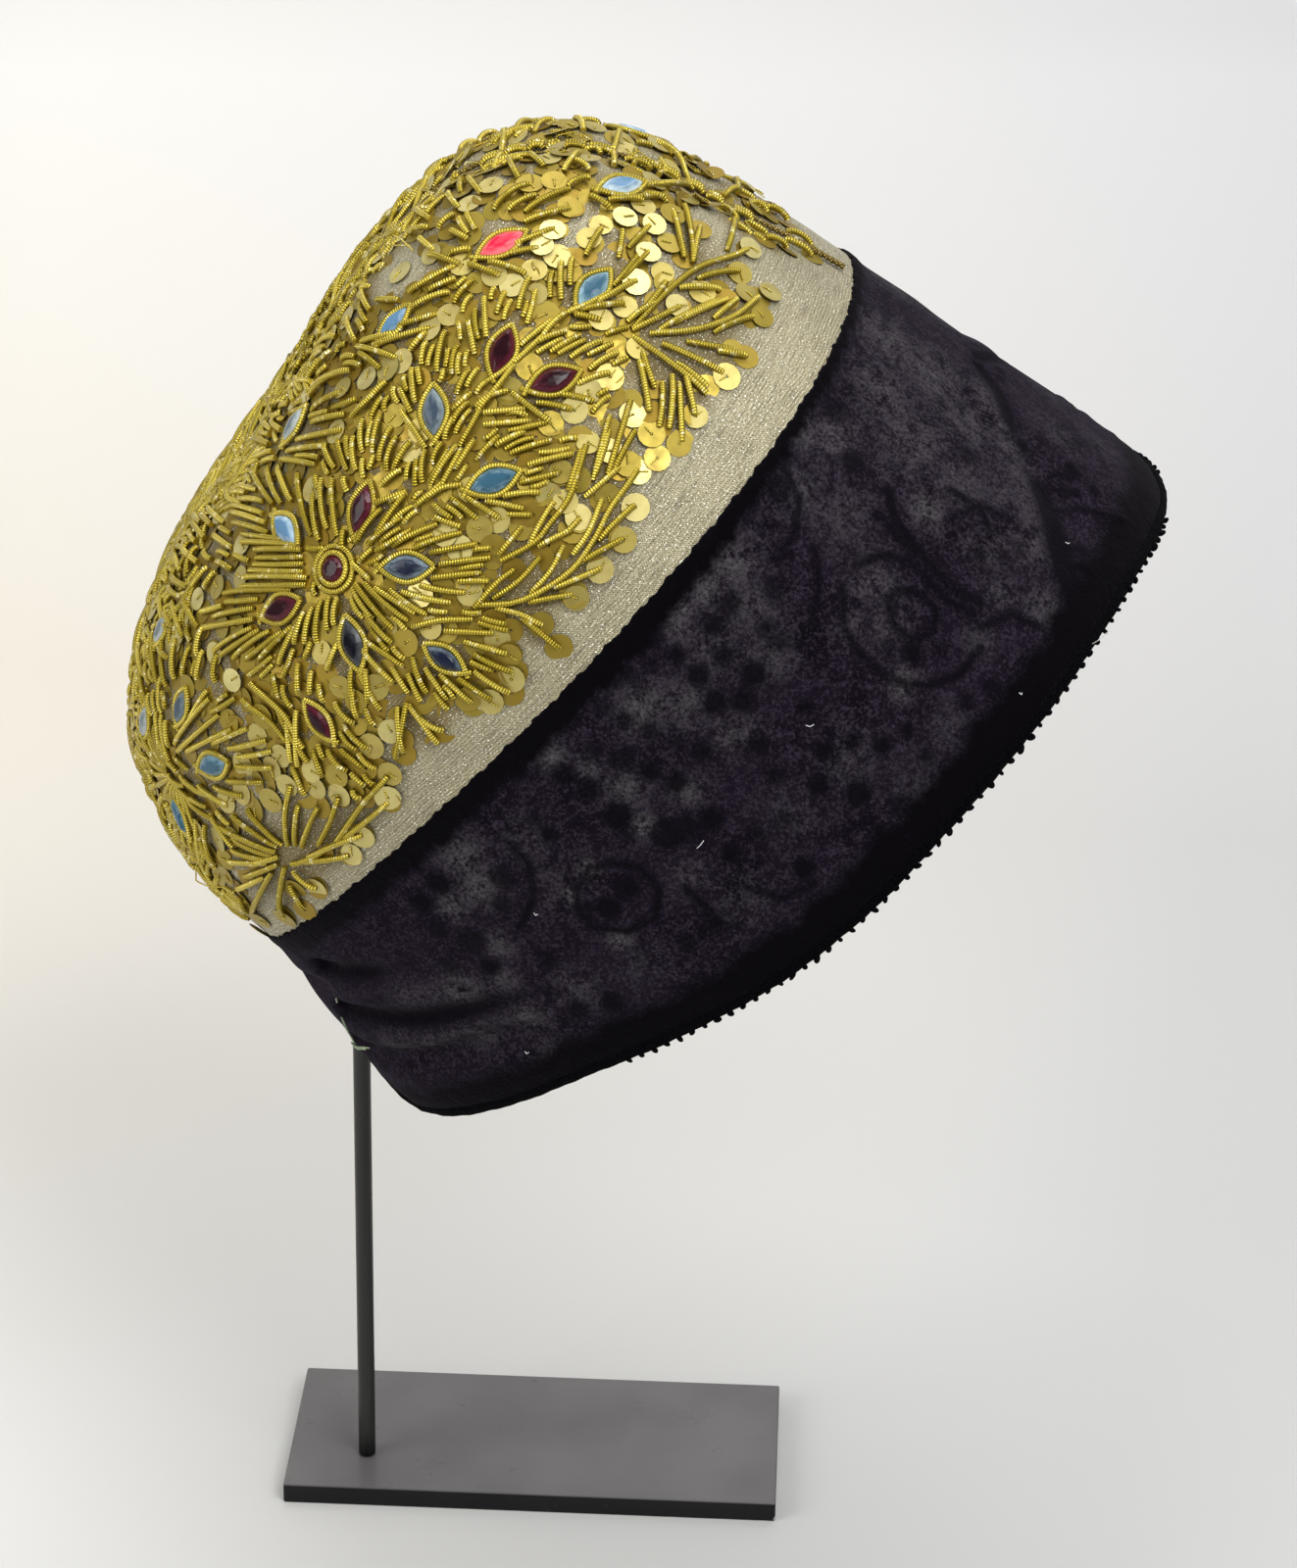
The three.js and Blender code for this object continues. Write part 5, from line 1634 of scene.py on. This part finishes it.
def nearest_gap(points, taken):
    return np.sqrt(((points[:, None] - taken[None]) ** 2).sum(-1)).min(axis=1)


def flat_gap(spots, place):
    return np.hypot(*(np.asarray(spots, float) - place).T)


def filling_coils(lines, taken):
    """More coils for the close patches, each lying as its neighbours do."""
    middles = np.array([line[len(line) // 2] for line in lines])
    runs = np.array([line[-1] - line[0] for line in lines])
    lengths = np.linalg.norm(runs, axis=-1)
    angles = np.arctan2(runs[:, 1], runs[:, 0])
    tries = random.uniform(np.min(CLOSE_PATCH, axis=0), np.max(CLOSE_PATCH, axis=0), (FILL_TRIES, 2))
    tries = tries[inside(tries, CLOSE_PATCH)]
    for x, y, reach in BARE_SPOTS:
        tries = tries[flat_gap(tries, (x, y)) > reach]
    added = []
    for spot in tries:
        if nearest_gap(spot[None], taken)[0] < COIL_CLEAR:
            continue
        away = flat_gap(middles, spot)
        close = np.argsort(away)[:4]
        weight = 1 / (away[close] + 4) ** 2
        double = 2 * angles[close]
        angle = math.atan2((weight * np.sin(double)).sum(), (weight * np.cos(double)).sum()) / 2
        angle += random.uniform(-0.12, 0.12)
        length = (weight * lengths[close]).sum() / weight.sum() * random.uniform(0.6, 0.95)
        length = min(max(length, FILL_SHORTEST), FILL_LONGEST)
        way = np.array([math.cos(angle), math.sin(angle)])
        for shrink in (1, 0.75, 0.55):
            half = way * length * shrink / 2
            line = bent_line(spot - half, spot + half, random.uniform(-1.5, 1.5))
            if nearest_gap(line, taken).min() > COIL_CLEAR:
                added.append(line)
                taken = np.concatenate([taken, line])
                break
    return added


def charted_coils():
    """Lays every coil of the charts where the photograph shows it, and fills close patches."""
    dense = [through(row) for row in DENSE_COILS]
    free = [through(row) for row in OPEN_COILS]
    rims = np.concatenate([photo_pixels(on_seat(stone[0], *stone_outline(stone[4], widen, 24)))
                           for stone in STONES for widen in (1.0, -0.6)])
    around = np.radians(np.arange(0, 360, 45))
    rings = [np.array(spot) + 7 * np.stack([np.cos(around), np.sin(around)], -1) for spot in SEQUINS]
    added = filling_coils(dense, np.concatenate([*dense, *free, rims, *rings]))
    lines = dense + free + added
    places = from_photo(crown_point, np.concatenate(lines))
    cuts = np.cumsum([len(line) for line in lines])[:-1]
    charted = len(dense) + len(free)
    for number, part in enumerate(np.split(places, cuts)):
        lay(part, arch=0.7 if number < charted else 0.4, base=random.uniform(0.15, 0.5))
    return dense + added, free, rims


def under_sequins(close, free, rims):
    """The flat sequins that show between and beyond the coils of the close patches."""
    tips = np.array([line[-1] + 3 * unit(line[-1] - line[-2]) for line in close])
    along = np.concatenate([line[::2] for line in close])
    open_tips = np.array([line[-1] for line in free])
    chosen = []
    for group, apart in ((tips, 9.5), (along, 12), (open_tips, 12)):
        for spot in group[random.permutation(len(group))]:
            if flat_gap(rims, spot).min() < 9:
                continue
            if not chosen or flat_gap(chosen, spot).min() > apart:
                chosen.append(spot)
    for turn, rise in from_photo(crown_point, chosen):
        add_sequin(turn, rise, shade=random.uniform(0, 0.42), lift=0.1, stitched=False)


def add_sequin(turn, rise, shade=None, lift=0.35, stitched=True, tip=0.0):
    """A sequin on the crown, with the short stitch that holds it."""
    middle, along, across, normal = tangents(turn, rise, random.uniform(0, 360))
    if middle[1] < SEQUIN_FROM_SEAM:
        return
    if tip:
        normal = unit(normal + tip * along)
        along = unit(along - normal * (along @ normal))
    size = random.uniform(0.84, 1.02)
    place = middle + normal * (lift + random.uniform(0, 0.3))
    # Unless given, sequins higher on the crown are painted paler, as the light from above falls on them.
    if shade is None:
        shade = random.uniform(0.35, 0.75) + 0.4 * smooth(0.45, 0.75, rise)
    sequins.append((place, along, normal, size, shade))
    if stitched:
        ends = [place + along * run + normal * height for run, height in STITCH]
        stitches.append((np.array(ends), np.ones(len(ends)), 0.9))


def spray(turn, rise, lie, reach, barbs):
    """A fern of coils on the side away from the camera, with a sequin at most tips."""
    middle, along, across, normal = tangents(turn, rise, lie)
    bend = random.uniform(-0.12, 0.12) * reach

    def at(share):
        return middle + (along * reach * share + across * bend * math.sin(math.pi * share))

    lay(settle([at(share) for share in np.linspace(0, 1, 13)], (turn, rise)), arch=0.6, base=0.2)
    for i in range(2 * barbs):
        share = (i // 2 + 0.6) / (barbs + 0.6)
        side = 1 if i % 2 else -1
        angle = math.radians(random.uniform(28, 42))
        run = reach * 0.45 * (1 - 0.45 * share) * random.uniform(0.85, 1.15)
        way = along * math.cos(angle) + across * side * math.sin(angle)
        line = settle([at(share) + way * run * s for s in np.linspace(0.06, 1, COIL_POINTS)], (turn, rise))
        lay(line)
        if random.random() < 0.7:
            add_sequin(*line[-1])


def rays(turn, rise, first, last, inner, outer, count):
    """Coils that spread from one place like the rays of a flower."""
    middle, along, across, normal = tangents(turn, rise, 0)
    for angle in np.radians(np.linspace(first, last, count)):
        way = along * math.cos(angle) + across * math.sin(angle)
        end = outer * random.uniform(0.88, 1.05)
        points = [middle + way * blend(inner, end, s) for s in np.linspace(0, 1, COIL_POINTS)]
        lay(settle(points, (turn, rise)), arch=0.6, base=0.1)


def poorly_seen(turn, rise, spots, normal):
    """Which spots on the crown the camera sees edge-on or not at all, or along the seam's top."""
    sight = unit(to_world(spots * MIRROR) - np.array(CAMERA_AT))
    facing = -np.sum(world_way(normal * MIRROR) * sight, axis=-1)
    ridge = (spots[:, 1] < 10) & (turn < 90)
    cloth = (rise > share_at(PLAIN_EDGES, turn)) & (rise < 0.985) & (spots[:, 1] > 1.2)
    return ((facing < 0.3) | ridge) & cloth


def tuft_sequins(part):
    """Sequins at the end of half the tufts, and several, tipped up, on the worn top of the seam."""
    if part[3, 0] < 90 and crown_point(*part[3])[1] < RIDGE_WIDTH:
        for _ in range(5):
            spot = part[random.integers(0, 7)] + random.normal(0, (3, 0.02), 2)
            add_sequin(*spot, shade=random.uniform(0.1, 0.75), lift=random.uniform(0, 1),
                       tip=random.uniform(0, 0.45))
    elif random.random() < 0.5:
        add_sequin(*part[-1], shade=random.uniform(0.1, 0.75), lift=random.uniform(0, 0.4))


def tufts():
    """Close short coils wherever the camera sees the crown poorly or not at all."""
    turn = random.uniform(1, 179, TUFT_TRIES)
    rise = 1 - random.uniform(0.0, 1, TUFT_TRIES) ** 0.7
    spots = crown_point(turn, rise)
    normal = outward(crown_point, turn, rise)
    wanted = poorly_seen(turn, rise, spots, normal)
    roots = crown_point(*np.array(TUFT_ROOTS, float).T)
    taken = np.concatenate([line for line, _, _ in coils])
    lines, guesses = [], []
    for spot, up, place in zip(spots[wanted], normal[wanted], np.stack([turn, rise], -1)[wanted]):
        clear = RIDGE_CLEAR if spot[1] < RIDGE_WIDTH and place[0] < 90 else TUFT_CLEAR
        if ((taken - spot) ** 2).sum(-1).min() < clear ** 2:
            continue
        away = spot - roots[np.argmin(((roots - spot) ** 2).sum(-1))]
        away = unit(away - up * (away @ up) + random.normal(0, 1.2, 3))
        way = unit(away - up * (away @ up))
        for reach in (random.uniform(4, 8), 3.6, 2.6):
            line = spot + np.outer(np.linspace(-0.5, 0.5, 7) * reach, way)
            if ((taken[:, None] - line[None]) ** 2).sum(-1).min() > (0.8 * clear) ** 2:
                lines.append(line)
                guesses.append(np.tile(place, (7, 1)))
                taken = np.concatenate([taken, line])
                break
    for part in np.split(settle(np.concatenate(lines), np.concatenate(guesses)), len(lines)):
        lay(part, arch=random.uniform(0.2, 0.8), base=random.uniform(-0.5, 0))
        tuft_sequins(part)


def loose_lines(face, rows):
    """Thin threads whose pixels lie on a face and whose heights are off it."""
    lines = []
    for row in rows:
        marks = np.array(row, float).reshape(-1, 3)
        t = np.linspace(0, len(marks) - 1, 4 * len(marks))
        fine = np.stack([np.interp(t, np.arange(len(marks)), column) for column in marks.T], -1)
        at = from_photo(face, fine[:, :2]).T
        points = face(*at) + outward(face, *at) * fine[:, 2:]
        lines.append((points, np.ones(len(points)), 0.8))
    return lines


def collars():
    """Two coils round each stone, which cross at its points."""
    for name, _, _, _, kind, _ in STONES:
        length, width = STONE_KINDS[kind]
        if kind == "round":
            for widen, high in ((0.7, 0.85), (2.1, 0.35)):
                x, y = (np.append(part, part[0]) for part in stone_outline(kind, widen, 20))
                coils.append((on_seat(name, x, y, high), np.ones(21), 0.75))
            continue
        for side in (1, -1):
            t = np.linspace(-1, 1.16, 17)
            x = t * (length / 2 + 1.1)
            y = side * (width / 2 + 0.75) * (1 - np.abs(t) ** 1.8)
            line = on_seat(name, x, y, np.where(np.abs(t) > 1, 0.35, 0.62))
            coils.append((line, tapered(len(t), 0.6), random.uniform(0.55, 0.95)))


collars()
under_sequins(*charted_coils())
for row in HIDDEN_SPRAYS:
    spray(*row)
for row in HIDDEN_RAYS:
    rays(*row)
tufts()
for spot, (turn, rise) in zip(SEQUINS, from_photo(crown_point, SEQUINS)):
    if spot in BRIGHT_SEQUINS:
        add_sequin(turn, rise, shade=0.86, lift=1.2)
    else:
        add_sequin(turn, rise, lift=0.6)


for side_name, side in (("left", 1), ("right", -1)):
    make_piece("crown_cloth_" + side_name, crown_half(side), [CLOTH, LINING],
               ["crown_" + side_name])


def coil_piece(lines, side, radius, sides, material):
    """Swept coils for one half of the part."""
    placed = [to_world(line * np.array([1, side, 1])) for line, _, _ in lines]
    mesh = line_mesh("coil_lines", placed, [line[1] for line in lines], [line[2] for line in lines])
    sizes = {"Radius": radius * MM, "Sides": sides, "Material": material}
    return grow("embroidery", mesh, TREES["coils"], sizes)


def sequin_piece(side):
    flip = np.array([1, side, 1])
    mesh = make_mesh("sequin_points", to_world([sequin[0] * flip for sequin in sequins]), [])
    turned = []
    for _, along, normal, _, _ in sequins:
        up, ahead = world_way(normal * flip), world_way(along * flip)
        turned.append(Matrix(np.array([ahead, np.cross(up, ahead), up]).T.tolist()).to_euler())
    attribute = mesh.attributes.new("turned", "FLOAT_VECTOR", "POINT")
    attribute.data.foreach_set("vector", np.array(turned, np.float32).ravel())
    add_values(mesh, "size", [sequin[3] for sequin in sequins])
    add_values(mesh, "shade", [sequin[4] for sequin in sequins])
    sizes = {"Outer Radius": SEQUIN_RADIUS * MM, "Hole Radius": SEQUIN_HOLE * MM,
             "Thickness": SEQUIN_THICKNESS * MM, "Tilt": SEQUIN_TILT, "Corners": 14, "Seed": 11,
             "Material": SEQUIN}
    return grow("sequins", mesh, TREES["sequins"], sizes)


for side_name, side in (("left", 1), ("right", -1)):
    make_piece("gold_coils_" + side_name, coil_piece(coils, side, COIL_RADIUS, COIL_SIDES, GOLD),
               GOLD)
    make_piece("gold_sequins_" + side_name, sequin_piece(side), SEQUIN)
    make_piece("sequin_stitches_" + side_name, coil_piece(stitches, side, STITCH_RADIUS, 4, GOLD),
               GOLD)


threads = [
    ("loose_gold_threads", loose_lines(crown_point, LOOSE_THREADS), STITCH_RADIUS, "gold_cord", GOLD),
    ("green_lining_ends", loose_lines(band_point, LINING_ENDS), LINING_RADIUS, "figured_velvet",
     GREEN_SILK),
    ("pale_lint_ends", loose_lines(band_point, LINT_ENDS), LINT_RADIUS, "figured_velvet", LINT),
]
for name, lines, radius, slot, finish in threads:
    make_piece(name, coil_piece(lines, -1, radius, 5, finish), finish)


# Stand
PLATE_ROUNDING = 0.6
POST_SIDES = 32


def plate_mesh():
    work = bmesh.new()
    bmesh.ops.create_cube(work, size=1)
    size = np.array([PLATE_LENGTH, PLATE_WIDTH, PLATE_THICKNESS]) * MM
    bmesh.ops.scale(work, vec=size.tolist(), verts=work.verts)
    bmesh.ops.translate(work, vec=(0, 0, PLATE_THICKNESS / 2 * MM), verts=work.verts)
    bmesh.ops.bevel(work, geom=work.edges[:], offset=PLATE_ROUNDING * MM, segments=3, profile=0.6,
                    affect="EDGES")
    mesh = bpy.data.meshes.new("plate")
    work.to_mesh(mesh)
    work.free()
    shade_smooth(mesh, False)
    return mesh


def post_mesh():
    """The rod with its chamfered foot and rounded end, turned from one outline."""
    low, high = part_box("post")
    foot, top = low[2] / MM, high[2] / MM
    ball = POST_BALL / 2
    neck = math.asin(POST_RADIUS / ball)
    outline = [(0, foot), (POST_RADIUS - 0.25, foot), (POST_RADIUS, foot + 0.25)]
    outline += [(POST_RADIUS, blend(foot + 1, top - POST_BALL - 3, i / 12)) for i in range(13)]
    for i in range(13):
        angle = blend(neck, math.pi, i / 12)
        outline.append((ball * abs(math.sin(angle)), top - ball - ball * math.cos(angle)))
    points = []
    for angle in 2 * math.pi * np.arange(POST_SIDES) / POST_SIDES:
        across, aside = math.cos(angle), math.sin(angle)
        points += [[POST_AT[0] + r * across, POST_AT[1] + r * aside, z] for r, z in outline]
    mesh = make_mesh("post", points, grid_faces(POST_SIDES, len(outline), closed=True))
    weld(mesh, 1e-5)
    shade_smooth(mesh)
    return mesh


make_piece("painted_plate", plate_mesh(), PAINT, ["base_plate"])
make_piece("painted_post", post_mesh(), PAINT, ["post"])


# Floor, which bends up into a back, and light
FLOOR_NEAR = 8000
FLOOR_FAR = 1800
FLOOR_HIGH = 1500
FLOOR_BEND = 500
FLOOR_ASIDE = 6000
TENT_LIGHT = 0.42


def floor():
    far, high, bend = FLOOR_FAR, FLOOR_HIGH, FLOOR_BEND
    profile = [(-FLOOR_NEAR, 0), (far - bend, 0)]
    for i in range(1, 13):
        angle = math.pi / 2 * i / 12
        profile.append((far - bend + bend * math.sin(angle), bend - bend * math.cos(angle)))
    profile.append((far, high))
    points = [[x, y, z] for x in (-FLOOR_ASIDE, FLOOR_ASIDE) for y, z in profile]
    mesh = make_mesh("floor", points, grid_faces(2, len(profile))[:, ::-1])
    shade_smooth(mesh)
    piece = bpy.data.objects.new("floor", mesh)
    bpy.context.scene.collection.objects.link(piece)
    mesh.materials.append(floor_paper())


def soft_light(name, at, aim, size, power):
    data = bpy.data.lights.new(name, "AREA")
    data.shape = "RECTANGLE"
    data.size, data.size_y = size
    data.energy = power
    lamp = bpy.data.objects.new(name, data)
    back = unit(np.array(at, float) - np.array(aim, float))
    right = unit(np.cross([0, 0, 1], back))
    place = np.eye(4)
    place[:3, 0], place[:3, 1], place[:3, 2], place[:3, 3] = right, np.cross(back, right), back, at
    lamp.matrix_world = Matrix(place.tolist())
    bpy.context.scene.collection.objects.link(lamp)


floor()
soft_light("key_light", (0.7, -0.9, 1.4), (0, 0, 0.22), (0.9, 0.7), 21)
soft_light("side_light", (-1.2, -0.8, 0.8), (0, 0, 0.25), (0.9, 0.9), 12)
soft_light("top_light", (0.1, 0.3, 1.6), (0, 0, 0.2), (1.2, 1.2), 16)
world = bpy.data.worlds.new("light_tent")
bpy.context.scene.world = world
world.use_nodes = True
tent = world.node_tree.nodes["Background"].inputs
tent[0].default_value = (1, 0.99, 0.97, 1)
tent[1].default_value = TENT_LIGHT
bpy.context.scene.view_settings.view_transform = "Standard"
